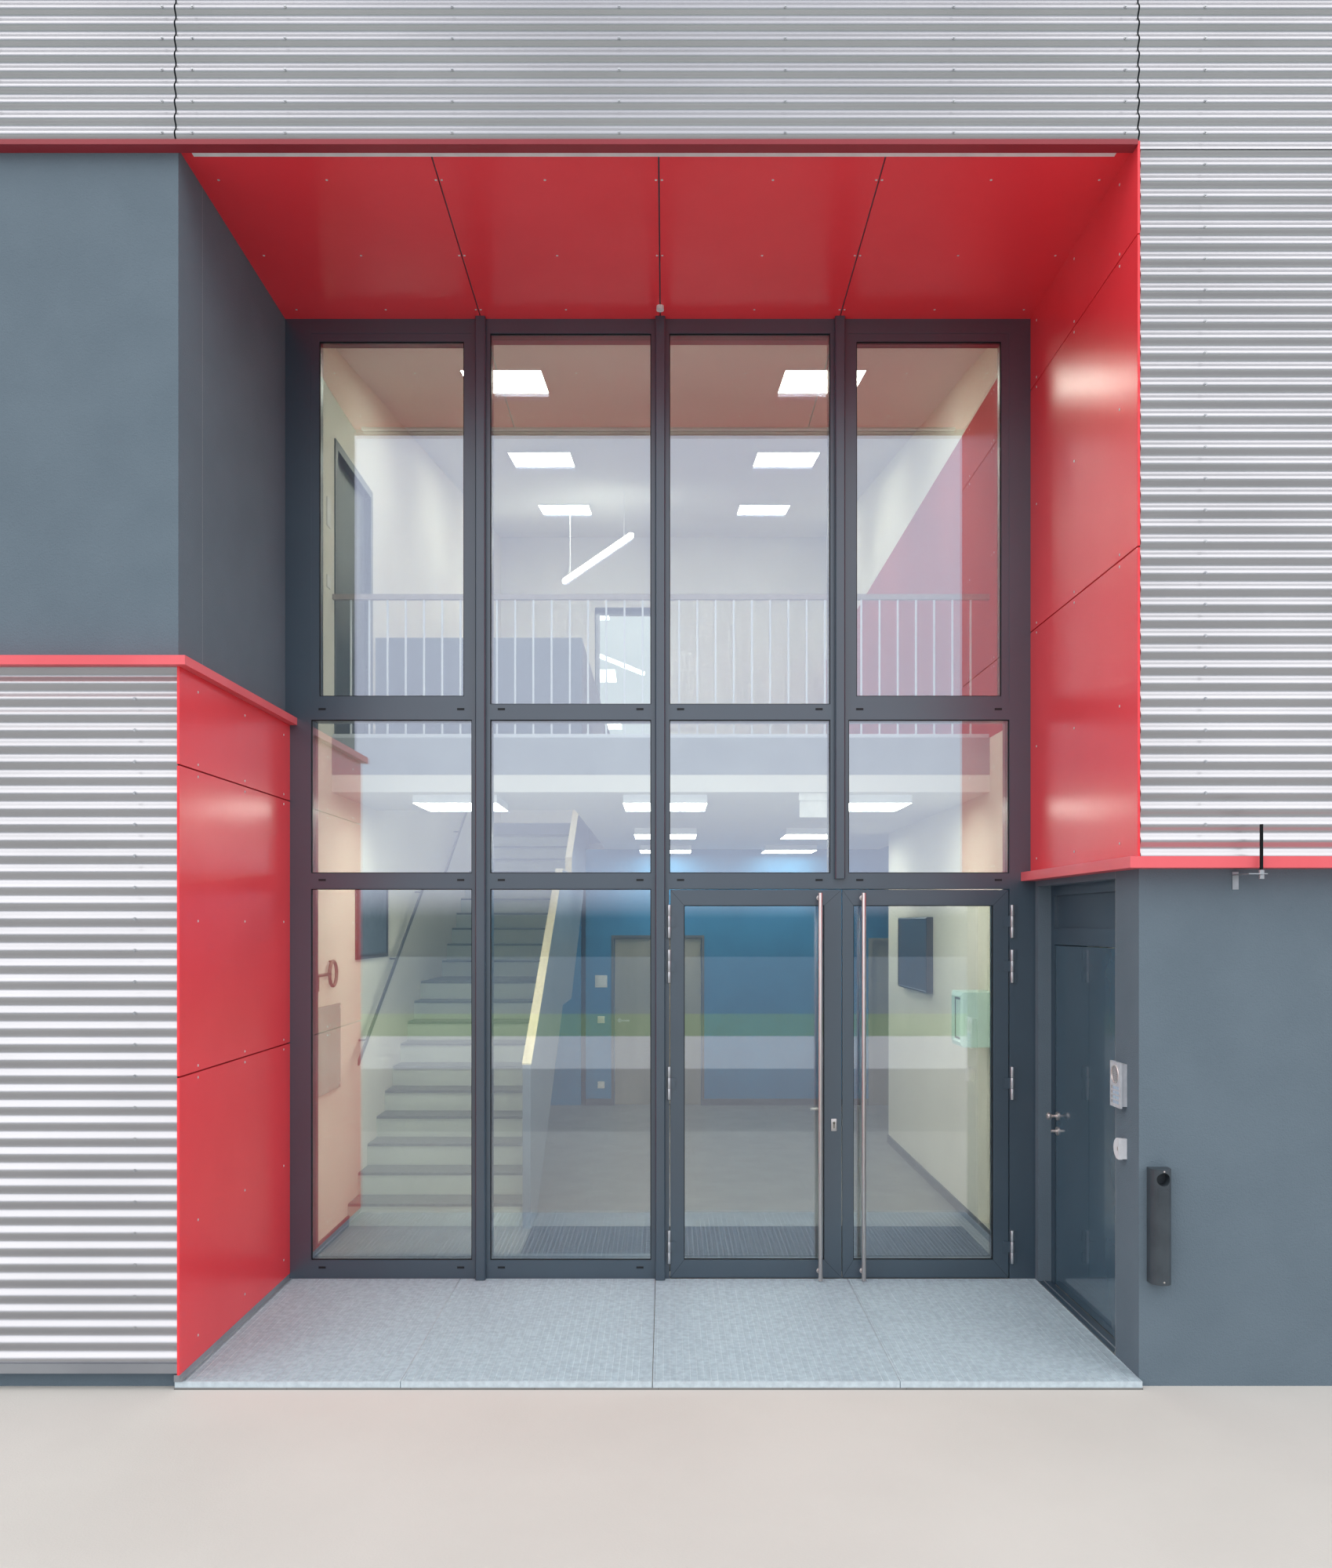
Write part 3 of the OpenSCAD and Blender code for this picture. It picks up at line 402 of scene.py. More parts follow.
zinc = coat("galvanised_steel", "dae9f1", "c8d7e0", 0.03, 0.55, 0.3)
parts = []
for left, right in zip(panel_seams, panel_seams[1:]):
    x = (left + seam_half, right - seam_half)
    inner = (x[0] + edge_bar, x[1] - edge_bar)
    edges = [(x, (grating_y[0], field_y[0])), (x, (field_y[1], grating_y[1])),
             ((x[0], inner[0]), field_y), ((inner[1], x[1]), field_y)]
    parts += [block(*edge, (pit_z, grating_top)) for edge in edges]
    first_x, first_y = inner[0] + 0.012, grating_y[0] + 0.011
    bearing = block((first_x, first_x + bar_width), field_y, (pit_z, grating_top - 0.001))
    parts.append(repeat(bearing, int((x[1] - x[0] - 0.03) / bearing_step), (bearing_step, 0, 0)))
    cross = block(inner, (first_y, first_y + bar_width), (grating_top - 0.012, grating_top - 0.0015))
    parts.append(repeat(cross, int((grating_y[1] - grating_y[0] - 0.02) / cross_step), (0, cross_step, 0)))
piece(join(parts), "grating_bars", zinc, stands_for=["entrance_grating"])

# Red panels
# High-pressure laminate boards with a red satin face on soffit and reveals, and folded red powder-coated
# aluminium trims. The narrow one under the upper cladding is coloured a deeper red, painted shade for the
# shadow of the sheets over it. The face has a faint orange peel that breaks up its reflections.
red_board = coat("red_laminate", "f6434d", "f03c46", 1.1, 0.26, relief=(0.012, 0.0001))
wear(red_board, "soffit_panels", "reveal_panels")
red_coat = coat("red_powder_coat", "ee6770", "e75e67", 0.6, 0.4, relief=(0.002, 0.0001))
trim_painted_shade_z = 5.9
# Above this height the trims get darker tones, painted shade under the upper cladding.
wear(repaint(red_coat, ("98323c", "902c36", 0.6), [("Z", 1, trim_painted_shade_z)]), "red_trims")

# Panel rivets
# Dome-headed aluminium blind rivets, 14 mm across, in pairs beside each joint and singly along the middle
# of each board. Their heads are lacquered pale grey.
soffit_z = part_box("soffit_panels")[0].z
board_t = 0.03
reveal_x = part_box("reveal_panels")[1].x - board_t
soffit_rows = [-5.35, -4.675, -4.09]
soffit_columns = [-2.24, -1.69, -0.58, 0.58, 1.69, 2.24] + [
    seam + side for seam in (-1.12, 0, 1.12) for side in (-0.015, 0.015)]
reveal_columns = [-5.424, -4.767, -4.10]


def around_seams(middles, seams):
    """Heights of single rivets, and of one rivet on each side of every seam."""
    return middles + [seam + side for seam in seams for side in (-0.03, 0.03)]


def cut(made, at, normal, off=True, fill=False):
    """Cuts a part along the plane through at, and takes off what is past it, or only scores it."""
    take(made)
    bpy.ops.object.mode_set(mode="EDIT")
    bpy.ops.mesh.select_all(action="SELECT")
    bpy.ops.mesh.bisect(plane_co=at, plane_no=normal, clear_outer=off, use_fill=fill)
    bpy.ops.object.mode_set(mode="OBJECT")


def set_on(made, corner, angle, axis="Z"):
    """Turns a part about an axis through the origin, and moves it to its place on the building."""
    made.data.transform(Matrix.Translation(corner) @ Matrix.Rotation(math.radians(angle), 4, axis))
    return made


def rivet():
    """A domed head that faces -Y, its foot on y = 0."""
    bpy.ops.mesh.primitive_uv_sphere_add(segments=10, ring_count=6, radius=0.007)
    head = bpy.context.object
    head.scale = (1, 0.45, 1)
    bpy.ops.object.transform_apply()
    cut(head, (0, 0.0005, 0), (0, 1, 0), fill=True)
    return head


rivet_grey = coat("lacquered_rivets", "e8e0e0", "dad2d2", 0.02, 0.35, 0.3)
head = set_on(rivet(), (0, 0, soffit_z), 90, "X")
heads = [spread(head, [(x, y, 0) for x in soffit_columns for y in soffit_rows])]
left_rows = around_seams([0.19, 0.77, 2.27, 3.42], [1.515, 3.025])
right_rows = around_seams([2.66, 3.35, 4.84, 5.97], [4.08, 5.59])
for side, rows in ((-1, left_rows), (1, right_rows)):
    head = set_on(rivet(), (side * reveal_x, 0, 0), -90 * side)
    heads.append(spread(head, [(0, y, z) for z in rows for y in reveal_columns]))
piece(join(heads), "panel_rivets", rivet_grey, smooth=40)

# Corrugated cladding
# Sinus sheets of aluminium, 18/76, one millimetre thick, coil-coated silver metallic: fine flakes in a satin
# lacquer, brighter where the wave faces the sky.
pitch = 0.076
wave_depth = 0.018
wave_faces = 16
sheet_t = 0.001
cladding_d = 0.06
half_width = -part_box("cladding_left")[0].x
half_depth = -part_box("cladding_front")[0].y
run_x = half_width - cladding_d
run_y = half_depth - cladding_d
window_half = 0.435
window_z = (4.44, 6.74)
side_windows = (-1.8, 1.8)
back_windows = (-3.4, -0.535, 3.4)


def pick_faces(made, chosen):
    """Opens edit mode with only those faces selected for which chosen(centre, normal) is true."""
    take(made)
    bpy.context.tool_settings.mesh_select_mode = (False, False, True)
    bpy.ops.object.mode_set(mode="EDIT")
    bpy.ops.mesh.select_all(action="DESELECT")
    bpy.ops.object.mode_set(mode="OBJECT")
    for face in made.data.polygons:
        face.select = chosen(face.center, face.normal)
    bpy.ops.object.mode_set(mode="EDIT")


def corrugated(width, z, holes=()):
    """A sheet facing -Y from x = 0 to width, its crests on y = 0. Holes are ranges along x in window_z."""
    bpy.ops.mesh.primitive_grid_add(x_subdivisions=1, y_subdivisions=wave_faces, size=1)
    made = bpy.context.object
    first = math.floor(z[0] / pitch)
    for vertex in made.data.vertices:
        up = vertex.co.y + 0.5
        vertex.co = ((vertex.co.x + 0.5) * width, wave_depth / 2 * (1 - math.cos(2 * math.pi * up)),
                     (first + up) * pitch)
    repeat(made, math.ceil(z[1] / pitch) - first, (0, 0, pitch), welded=True)
    cut(made, (0, 0, z[0]), (0, 0, -1))
    cut(made, (0, 0, z[1]), (0, 0, 1))
    for hole in holes:
        for edge in hole:
            cut(made, (edge, 0, 0), (1, 0, 0), off=False)
    if holes:
        for edge in window_z:
            cut(made, (0, 0, edge), (0, 0, 1), off=False)
        pick_faces(made, lambda centre, normal: window_z[0] < centre.z < window_z[1] and any(
            low < centre.x < high for low, high in holes))
        bpy.ops.mesh.delete(type="FACE")
    return modify(made, "SOLIDIFY", thickness=sheet_t, offset=-1)


def hole_list(windows, start, sign):
    """The windows' ranges along a side, measured from where its sheet starts."""
    middles = [(middle - start) * sign for middle in windows]
    return [(middle - window_half, middle + window_half) for middle in middles]


silver_coil = coat("silver_coil_coating", "c7c7ca", "c0c0c3", 0.9, 0.3, 0.7, stretch=(1, 1, 3))
gap = 0.008
left_joint = -2.339
right_joint = 2.323
porch_half = 2.345
right_foot = 2.58
band_foot = soffit_z + 0.005
parapet_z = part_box("cladding_front")[1].z
low_band = (0.129, 3.5)
high_band = (band_foot, parapet_z)
whole_band = (right_foot, parapet_z)
front_parts = [
    (-run_x, -porch_half + 0.018, low_band),
    (-run_x, left_joint - gap / 2, high_band),
    (left_joint + gap / 2, right_joint - gap / 2, high_band),
    (right_joint + gap / 2, run_x, (band_foot - 0.045, parapet_z)),
    (right_joint + gap, run_x, (right_foot, band_foot - 0.049))]
sheets = [set_on(corrugated(x1 - x0, z), (x0, -half_depth, 0), 0) for x0, x1, z in front_parts]
piece(join(sheets), "front_sheets", silver_coil, smooth=40, stands_for=["cladding_front"])
other_sides = {
    "left": ((-half_width, run_y, 0), -90, 2 * run_y,
             [(low_band, []), (high_band, hole_list(side_windows, run_y, -1))]),
    "right": ((half_width, -run_y, 0), 90, 2 * run_y, [(whole_band, hole_list(side_windows, -run_y, 1))]),
    "back": ((run_x, half_depth, 0), 180, 2 * run_x, [(whole_band, hole_list(back_windows, run_x, -1))])}
for side, (corner, angle, width, bands) in other_sides.items():
    sheets = [set_on(corrugated(width, z, holes), corner, angle) for z, holes in bands]
    piece(join(sheets), side + "_sheets", silver_coil, smooth=40,
          stands_for=["cladding_" + side])

# Aluminium edges
# Folded and mill-finished aluminium: corner and base profiles of the cladding and the parapet coping. It
# has weathered to a dull, even grey.
mill_aluminium = coat("mill_aluminium", "bec1c6", "b1b4ba", 0.5, 0.4, 0.85, relief=(0.02, 0.0001))
wear(mill_aluminium, "cladding_profiles", "parapet_coping")

# Cladding screws
# Self-drilling stainless screws with hexagon heads on sealing washers, through every second crest, in
# columns at the sheet ends and over the rails in between.
screw_step = 2 * pitch
screw_spacing = 0.8
edge_distance = 0.03
front_columns = [
    ([-4.88, -4.1, -3.32, -2.53], low_band),
    ([-4.88, -4.02, -3.21, -2.40], high_band),
    ([-2.254, -1.805, -0.998, -0.191, 0.612, 1.426, 2.256], high_band),
    ([2.642, 3.45, 4.26, 4.88], whole_band)]


def screw():
    """A hexagon head on a washer, facing -Y from y = 0."""
    parts = []
    for facets, width, reach in ((12, 0.017, 0.002), (6, 0.009, 0.0065)):
        bpy.ops.mesh.primitive_cylinder_add(
            vertices=facets, radius=width / 2, depth=reach, location=(0, -reach / 2, 0),
            rotation=(math.pi / 2, 0, 0), end_fill_type="NGON")
        bpy.ops.object.transform_apply()
        parts.append(bpy.context.object)
    return join(parts)


def screw_field(columns, z, holes=()):
    """Screws in the given columns of a side, on every second crest that isn't in a window."""
    first = math.ceil((z[0] + edge_distance) / screw_step)
    last = math.floor((z[1] - edge_distance) / screw_step)
    places = [(x, 0, k * screw_step) for x in columns for k in range(first, last + 1)]
    free = [p for p in places if not any(
        low - edge_distance < p[0] < high + edge_distance
        and window_z[0] - edge_distance < p[2] < window_z[1] + edge_distance for low, high in holes)]
    return spread(screw(), free)


def even(length, edge=0.06):
    """Columns from edge to edge of a side, about the screws' spacing apart."""
    count = round((length - 2 * edge) / screw_spacing)
    return [edge + k * (length - 2 * edge) / count for k in range(count + 1)]


screw_steel = coat("screw_steel", "cccecf", "b6b8bc", 0.02, 0.35, 0.8)
fields = [set_on(screw_field(columns, z), (0, -half_depth, 0), 0) for columns, z in front_columns]
piece(join(fields), "front_screws", screw_steel, smooth=35)
for side, (corner, angle, width, bands) in other_sides.items():
    fields = [set_on(screw_field(even(width), z, holes), corner, angle) for z, holes in bands]
    piece(join(fields), side + "_screws", screw_steel, smooth=35)

# Glazing frame
# Thermally broken aluminium posts and transoms with clipped cover caps, powder coated anthracite with fine
# mica flakes that catch the sky. The doors' leaves have the same coat.
anthracite = coat("anthracite_powder_coat", "344a5a", "2f4454", 0.7, 0.32, relief=(0.0015, 0.0001),
                  sockets={"IOR": 2.2})
wear(anthracite, "facade_posts", "facade_transoms", "mullion_caps", "casement_frames", "window_frames",
     "side_door_frame", "left_door_leaf", "right_door_leaf")

# Glass
# Double glazing in 30 mm units: a see-through tint under a mirror, so that daylight and lamps pass it. The
# porch has coated panes, which mirror a good third of the sky in a cool tone, and the windows plain ones.
# A pane has two faces. Each mirrors the share given here, and more at a slant.


def glazing(name, face_share, tint, mirror_tint):
    """Glass whose faces each mirror a share of what is in front of them, and all of it at a grazing slant."""
    material = bpy.data.materials.new(name)
    material.use_nodes = True
    tree = material.node_tree
    tree.nodes.clear()
    slant = add_node(tree, "LayerWeight", {"Blend": 0.5})
    grazing = add_node(tree, "Math", {0: slant.outputs["Facing"], 1: 5.0}, operation="POWER")
    coated = add_node(tree, "Math", {0: grazing, 1: 1 - face_share, 2: face_share}, operation="MULTIPLY_ADD")
    through = add_node(tree, "BsdfTransparent", {"Color": tint})
    mirror = add_node(tree, "BsdfAnisotropic", {"Color": mirror_tint, "Roughness": 0.01})
    pane = add_node(tree, "MixShader", {0: coated, 1: through, 2: mirror})
    add_node(tree, "OutputMaterial", {"Surface": pane})
    return material


clear_glass = glazing("coated_double_glazing", 0.29, "f7fcf6", "ebeeff")
wear(clear_glass, "facade_glass", "left_door_glass", "right_door_glass")
wear(glazing("plain_double_glazing", 0.1, "fafdfa", "fafcff"), "window_glass")

# Glazing gaskets
# Black rubber seals pressed between the panes and their frames, 5 mm wide in view.
gasket_w = 0.005
gasket_t = 0.006
glass_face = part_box("facade_glass")[0].y
posts_x = [(-2.345, -2.183), (-1.177, -1.063), (-0.057, 0.057), (1.063, 1.177), (2.183, 2.345)]
lower_transom = (2.477, 2.575)
upper_transom = (3.534, 3.631)
foot_rail_top = 0.155
head_foot = 5.95
casement_w = 0.05


def ring(x, y, z, width, through="Y"):
    """A rectangular ring between two corners with bars of one width, open along an axis."""
    made = block(x, y, z)
    axis = "XYZ".index(through)
    pick_faces(made, lambda centre, normal: abs(normal[axis]) > 0.9)
    bpy.ops.mesh.inset(thickness=width, use_individual=True)
    bpy.ops.mesh.bridge_edge_loops()
    bpy.ops.object.mode_set(mode="OBJECT")
    return made


black_rubber = coat("black_rubber", "1a1c1e", "121415", 0.05, 0.6)
panes = []
for bay in range(4):
    x = (posts_x[bay][1], posts_x[bay + 1][0])
    trim = casement_w if bay in (0, 3) else 0
    panes += [((x[0] + trim, x[1] - trim), (upper_transom[1] + trim, head_foot - trim)),
              (x, (lower_transom[1], upper_transom[0]))]
    if bay < 2:
        panes.append((x, (foot_rail_top, lower_transom[0])))
seals = [ring(x, (glass_face - gasket_t, glass_face), z, gasket_w) for x, z in panes]
piece(join(seals), "pane_gaskets", black_rubber)
leaf_panes = {"left_door": (0.148, 1.026), "right_door": (1.207, 2.082)}
leaf_pane_z = (0.156, 2.374)
for body, x in leaf_panes.items():
    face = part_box(body + "_glass")[0].y
    seal = ring(x, (face - gasket_t, face), leaf_pane_z, gasket_w)
    piece(seal, body + "_gasket", black_rubber, body)

# Drain caps
# Small moulded covers over the drain slots in transoms and foot rails, one near each pane's lower
# corners, dark with a slot in the middle.
cap_x, cap_z = 0.045, 0.013
cap_inset = 0.07
frame_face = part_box("facade_posts")[0].y


def sink(made, direction, rim, depth):
    """Sinks the face of a part that looks in a direction, inside a rim."""
    direction = Vector(direction)
    pick_faces(made, lambda centre, normal: normal.dot(direction) > 0.9)
    bpy.ops.mesh.inset(thickness=rim)
    bpy.ops.mesh.extrude_region_move(TRANSFORM_OT_translate={"value": tuple(-depth * direction)})
    bpy.ops.object.mode_set(mode="OBJECT")
    return made


cap_places = []
for bay in range(4):
    for x in (posts_x[bay][1] + cap_inset, posts_x[bay + 1][0] - cap_inset):
        cap_places.append((x, frame_face, upper_transom[0] + 0.066))
        if bay < 2:
            cap_places.append((x, frame_face, foot_rail_top - 0.045))
        cap_places.append((x, frame_face, lower_transom[0] + 0.055))
cap = sink(block((-cap_x / 2, cap_x / 2), (-0.003, 0), (-cap_z / 2, cap_z / 2)), (0, -1, 0), 0.003, 0.0015)
cap_plastic = coat("drain_cap_plastic", "252b30", "1d2226", 0.05, 0.5)
piece(spread(cap, cap_places), "drain_caps", cap_plastic)

# Door pulls
# Full-height bars of brushed stainless steel on short round standoffs. The left leaf also has an oval lock
# rosette outside and a lever inside.
pull_d = 0.026
pull_x = {"left_door": 0.993, "right_door": 1.262}
pull_z = (0.046, 2.45)
pull_y = frame_face - 0.067
standoff_z = (0.09, 2.42)
stem_d = 0.018
leaf_t = 0.075
lock_x = 1.085


def rod(start, end, width, facets=28, edge=0.0015):
    """A round bar from one point to another, its ends rounded."""
    start, end = Vector(start), Vector(end)
    run = end - start
    bpy.ops.mesh.primitive_cylinder_add(
        vertices=facets, radius=width / 2, depth=run.length, location=(start + end) / 2,
        rotation=run.to_track_quat("Z", "Y").to_euler(), end_fill_type="NGON")
    made = bpy.context.object
    bpy.ops.object.transform_apply()
    return bevel(made, edge) if edge else made


def lever(foot, out, along, length):
    """A round lever on a rose. Its stem reaches out, and its grip runs along the leaf."""
    foot, out, along = Vector(foot), Vector(out), Vector(along)
    bend = foot + 0.05 * out
    return [rod(foot, bend, stem_d), rod(bend - stem_d / 2 * along, bend + length * along, stem_d),
            rod(foot, foot + 0.008 * out, 0.05)]


brushed_steel = coat("brushed_stainless", "f0e8e4", "e2dad6", 0.004, 0.36, 0.9, stretch=(1, 1, 0.04))
for body, x in pull_x.items():
    parts = [rod((x, pull_y, pull_z[0]), (x, pull_y, pull_z[1]), pull_d)]
    for z in standoff_z:
        parts.append(rod((x, frame_face, z), (x, pull_y, z), stem_d))
        parts.append(rod((x, frame_face, z), (x, frame_face - 0.004, z), 0.034))
    if body == "left_door":
        parts.append(block((lock_x - 0.0175, lock_x + 0.0175), (frame_face - 0.009, frame_face),
                           (0.9625, 1.0405), 0.004))
        parts += lever((lock_x, frame_face + leaf_t, 1.08), (0, 1, 0), (-1, 0, 0), 0.13)
    piece(join(parts), body + "_bar", brushed_steel, body, 40, stands_for=[body + "_pull"])

# Lock cylinder
# A brass profile cylinder in the left leaf's rosette.
brass = coat("nickelled_brass", "b0aca0", "989488", 0.01, 0.3, 1.0)
core_z = 1.016
core_y = (frame_face - 0.0115, frame_face - 0.008)
parts = [rod((lock_x, core_y[1], core_z), (lock_x, core_y[0], core_z), 0.017),
         block((lock_x - 0.0045, lock_x + 0.0045), core_y, (0.982, core_z))]
piece(join(parts), "left_door_cylinder", brass, "left_door", 40)

# Hinge knuckles
# Three-part barrel hinges of satin anodised aluminium on the outside of the leaves. The middle third turns
# with the leaf, and the straps beside the barrels are powder coated like the frames.
knuckle_d = 0.0216
knuckle_l = 0.206
knuckle_feet = (0.137, 1.16, 1.89, 2.17)
hinge_y = frame_face - 0.012
hinges = {"left_door": (0.055, (-0.022, -0.004)), "right_door": (2.197, (0.004, 0.028))}
anodised = coat("satin_anodised", "e2e4e6", "d2d4d6", 0.05, 0.35, 0.8)


def knuckle(x, foot, third):
    """One third of a barrel with rounded rims, and its heights."""
    low = foot + third * knuckle_l / 3 + 0.0005
    high = foot + (third + 1) * knuckle_l / 3 - 0.0005
    return rod((x, hinge_y, low), (x, hinge_y, high), knuckle_d, edge=0.001), (low, high)


fixed = []
straps = []
for body, (x, strap) in hinges.items():
    turning = [knuckle(x, foot, 1)[0] for foot in knuckle_feet]
    piece(join(turning), body + "_knuckles", anodised, body, 40)
    for foot in knuckle_feet:
        for third in (0, 2):
            barrel, z = knuckle(x, foot, third)
            fixed.append(barrel)
            straps.append(block((x + strap[0], x + strap[1]), (frame_face - 0.009, frame_face), z, 0.0008))
piece(join(fixed), "fixed_knuckles", anodised, smooth=40, stands_for=["hinge_barrels"])
piece(join(straps), "hinge_straps", anthracite)

# Leaf mitres
# The bars of each leaf meet in glued mitres, which show as fine dark lines across the corners.
mitre_w = 0.0015
leaf_outline = {"left_door": (0.063, 1.133), "right_door": (1.139, 2.177)}
leaf_z = (0.046, 2.471)


def mitre(corner, inner):
    """A thin strip from an outer corner of a leaf to its pane's corner, just proud of the face."""
    run = Vector((inner[0] - corner[0], inner[1] - corner[1]))
    strip = block((0, run.length), (-0.0004, 0.0005), (-mitre_w / 2, mitre_w / 2))
    return set_on(strip, (corner[0], frame_face, corner[1]), -math.degrees(math.atan2(run.y, run.x)), "Y")


for body, pane in leaf_panes.items():
    lines = [mitre((leaf_outline[body][i], leaf_z[k]), (pane[i], leaf_pane_z[k]))
             for i in (0, 1) for k in (0, 1)]
    piece(join(lines), body + "_mitres", black_rubber, body)

# Side door
# A flush steel door in a steel frame, painted anthracite in a gloss that mirrors the porch, with a glass
# light over it. The knob and the lock rosette are stainless.
leaf_faces = (2.43, 2.49)
knob_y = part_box("side_door_leaf")[1].y - 0.037
knob_z = 1.083
side_lock_z = 0.991
rose = [(0, 0), (0.026, 0), (0.026, 0.007), (0.009, 0.009)]
knob_line = rose + [(0.009, 0.032), (0.014, 0.038), (0.021, 0.047), (0.0235, 0.055), (0.021, 0.063),
                    (0.013, 0.068), (0, 0.068)]
lock_line = rose + [(0.009, 0.039), (0.008, 0.04), (0, 0.04)]
door_gloss = coat("anthracite_gloss_paint", "455d6d", "3f5766", 0.8, 0.16,
                  sockets={"Coat Weight": 0.5, "Coat Roughness": 0.04})
wear(door_gloss, "side_door_leaf")


def turned_part(outline, foot):
    """A part turned on a lathe from its outline of radius and height, that points along -X from its foot."""
    mesh = bpy.data.meshes.new("outline")
    mesh.from_pydata([(radius, 0, height) for radius, height in outline],
                     [(i, i + 1) for i in range(len(outline) - 1)], [])
    made = bpy.data.objects.new("turned", mesh)
    scene.collection.objects.link(made)
    take(made)
    bpy.ops.object.mode_set(mode="EDIT")
    bpy.ops.mesh.select_all(action="SELECT")
    bpy.ops.mesh.spin(steps=32, angle=2 * math.pi, center=(0, 0, 0), axis=(0, 0, 1))
    bpy.ops.mesh.select_all(action="SELECT")
    bpy.ops.mesh.remove_doubles(threshold=0.00005)
    bpy.ops.mesh.normals_make_consistent(inside=False)
    bpy.ops.object.mode_set(mode="OBJECT")
    return set_on(made, foot, -90, "Y")


parts = [turned_part(knob_line, (leaf_faces[0], knob_y, knob_z)),
         turned_part(lock_line, (leaf_faces[0], knob_y, side_lock_z))]
parts += lever((leaf_faces[1], knob_y, knob_z), (1, 0, 0), (0, -1, 0), 0.12)
piece(join(parts), "side_door_hardware", brushed_steel, "side_door", 40, ["side_door_knob"])
light = block((2.446, 2.474), (-5.23, -4.1), (2.23, 2.43))
piece(light, "side_door_light", clear_glass)
sill_y = (-5.286, -4.044)
sill = block((2.347, 2.424), sill_y, (0.0405, 0.0445), 0.001)
piece(sill, "side_door_threshold", anthracite)
lip = block((2.376, 2.381), sill_y, (0.044, 0.0495), 0.001)
piece(lip, "side_door_threshold_lip", mill_aluminium)

# Stair
# A cast concrete stair with painted pale risers and soffit and dark stone treads, behind a solid
# balustrade of grey lacquered panels. A dark flat steel rail runs up the wall.
wear(coat("stair_paint", "c3c7ba", "b8bcaf", 0.6, 0.6, relief=(0.004, 0.0002)), "stair_flights")
wear(coat("tread_stone", "7b7f7b", "696d69", 0.02, 0.4), "stair_treads")
wear(coat("panel_lacquer", "7f8993", "757f89", 0.8, 0.4), "stair_balustrade")
wear(coat("rail_steel", "7b746d", "6b645e", 0.05, 0.35, 0.6), "stair_handrails")

# Balustrade rail
# A flat bar of pale lacquered timber, 12 mm thick, glued on top of the balustrade along both flights and
# the landing.
floor_top = 0.04
gallery_top = 3.56
rise = (gallery_top - floor_top) / 21
going = 0.284
first_riser = -2.7
landing_start = first_riser + 9 * going
upper_end = 3.76
upper_start = upper_end - 10 * going
guard = 1.06
rail_t = 0.012
rail_x = (-1.014, -0.946)
overhang = 0.06


def rail_z(steps):
    """The height of the rail's foot after a number of steps."""
    return floor_top + steps * rise + guard


rail_line = [
    (first_riser - overhang, rail_z(1 - overhang / going)), (landing_start, rail_z(10)),
    (upper_start - 0.01, rail_z(10)), (upper_start, rail_z(11)), (upper_end, rail_z(21))]


def sloped_bar(x, start, end, depth):
    """A flat bar from one (y, z) to another along its foot, its ends upright."""
    made = block(x, (start[0], end[0]), (start[1], start[1] + depth))
    pick_faces(made, lambda centre, normal: normal.y > 0.9)
    bpy.ops.transform.translate(value=(0, 0, end[1] - start[1]))
    bpy.ops.object.mode_set(mode="OBJECT")
    return made


pale_timber = coat("lacquered_maple", "eadab8", "dccba4", 0.02, 0.35, stretch=(1, 0.05, 1))
bars = [sloped_bar(rail_x, start, end, rail_t) for start, end in zip(rail_line, rail_line[1:])]
piece(join(bars), "balustrade_rail", pale_timber)

# Gallery railing
# Thin upright flat bars of pale lacquered steel between a foot rail and a wide handrail of warm grey steel.
handrail_foot = 4.53
bar_lacquer = coat("pale_bar_lacquer", "d0d4da", "c6cad0", 0.5, 0.4)
wear(repaint(bar_lacquer, ("9a8f88", "8e837c", 0.05), [("Z", 1, handrail_foot)]), "gallery_railing")

# Lamps
# Square opal panels in slim white housings, under the gallery and in the slope, and one slanted tube over
# the stair, lit on their undersides and the tube's sides. The strip and the sensor under the porch are off.
# A wide soft light just behind the glazing stands for the daylight that reaches the foyer.
tube_z = (6.6, 6.651)
porch_lamps_end = -3.9
board_strength = 17.0
slope_strength = 22.0
lamp_white = coat("lamp_housing", "e6e7e8", "dcdddf", 0.1, 0.45)
tree, shader, _ = opened(lamp_white)
place = add_node(tree, "TexCoord")
at = add_node(tree, "SeparateXYZ", {0: place.outputs["Object"]})
surface = add_node(tree, "NewGeometry")
facing = add_node(tree, "SeparateXYZ", {0: surface.outputs["Normal"]})
down = add_node(tree, "Math", {0: facing.outputs["Z"], 1: -0.7}, operation="LESS_THAN")
on_tube = add_node(tree, "Math", {0: at.outputs["Z"], 1: sum(tube_z) / 2, 2: (tube_z[1] - tube_z[0]) / 2},
                   operation="COMPARE")
opal = add_node(tree, "Math", {0: down, 1: on_tube}, operation="MAXIMUM")
indoors = add_node(tree, "Math", {0: at.outputs["Y"], 1: porch_lamps_end}, operation="GREATER_THAN")
lit = add_node(tree, "Math", {0: opal, 1: indoors}, operation="MULTIPLY")
level = add_node(tree, "MapRange", {0: at.outputs["Z"], 1: 4.9, 2: 5.0, 3: board_strength, 4: slope_strength})
glow = add_node(tree, "Emission", {"Color": "fffdf8", "Strength": level})
lamp = add_node(tree, "MixShader", {0: lit, 1: shader, 2: glow})
plug(tree, tree.nodes["Material Output"], {"Surface": lamp})
wear(lamp_white, "ceiling_lights")
bpy.ops.object.light_add(type="AREA", location=(0, -3.75, 3.05), rotation=(math.pi / 2, 0, 0))
soft = bpy.context.object
soft.name = "foyer_daylight"
soft.data.shape = "RECTANGLE"
soft.data.size = 4.3
soft.data.size_y = 5.8
soft.data.energy = 80
soft.visible_camera = soft.visible_glossy = soft.visible_transmission = False

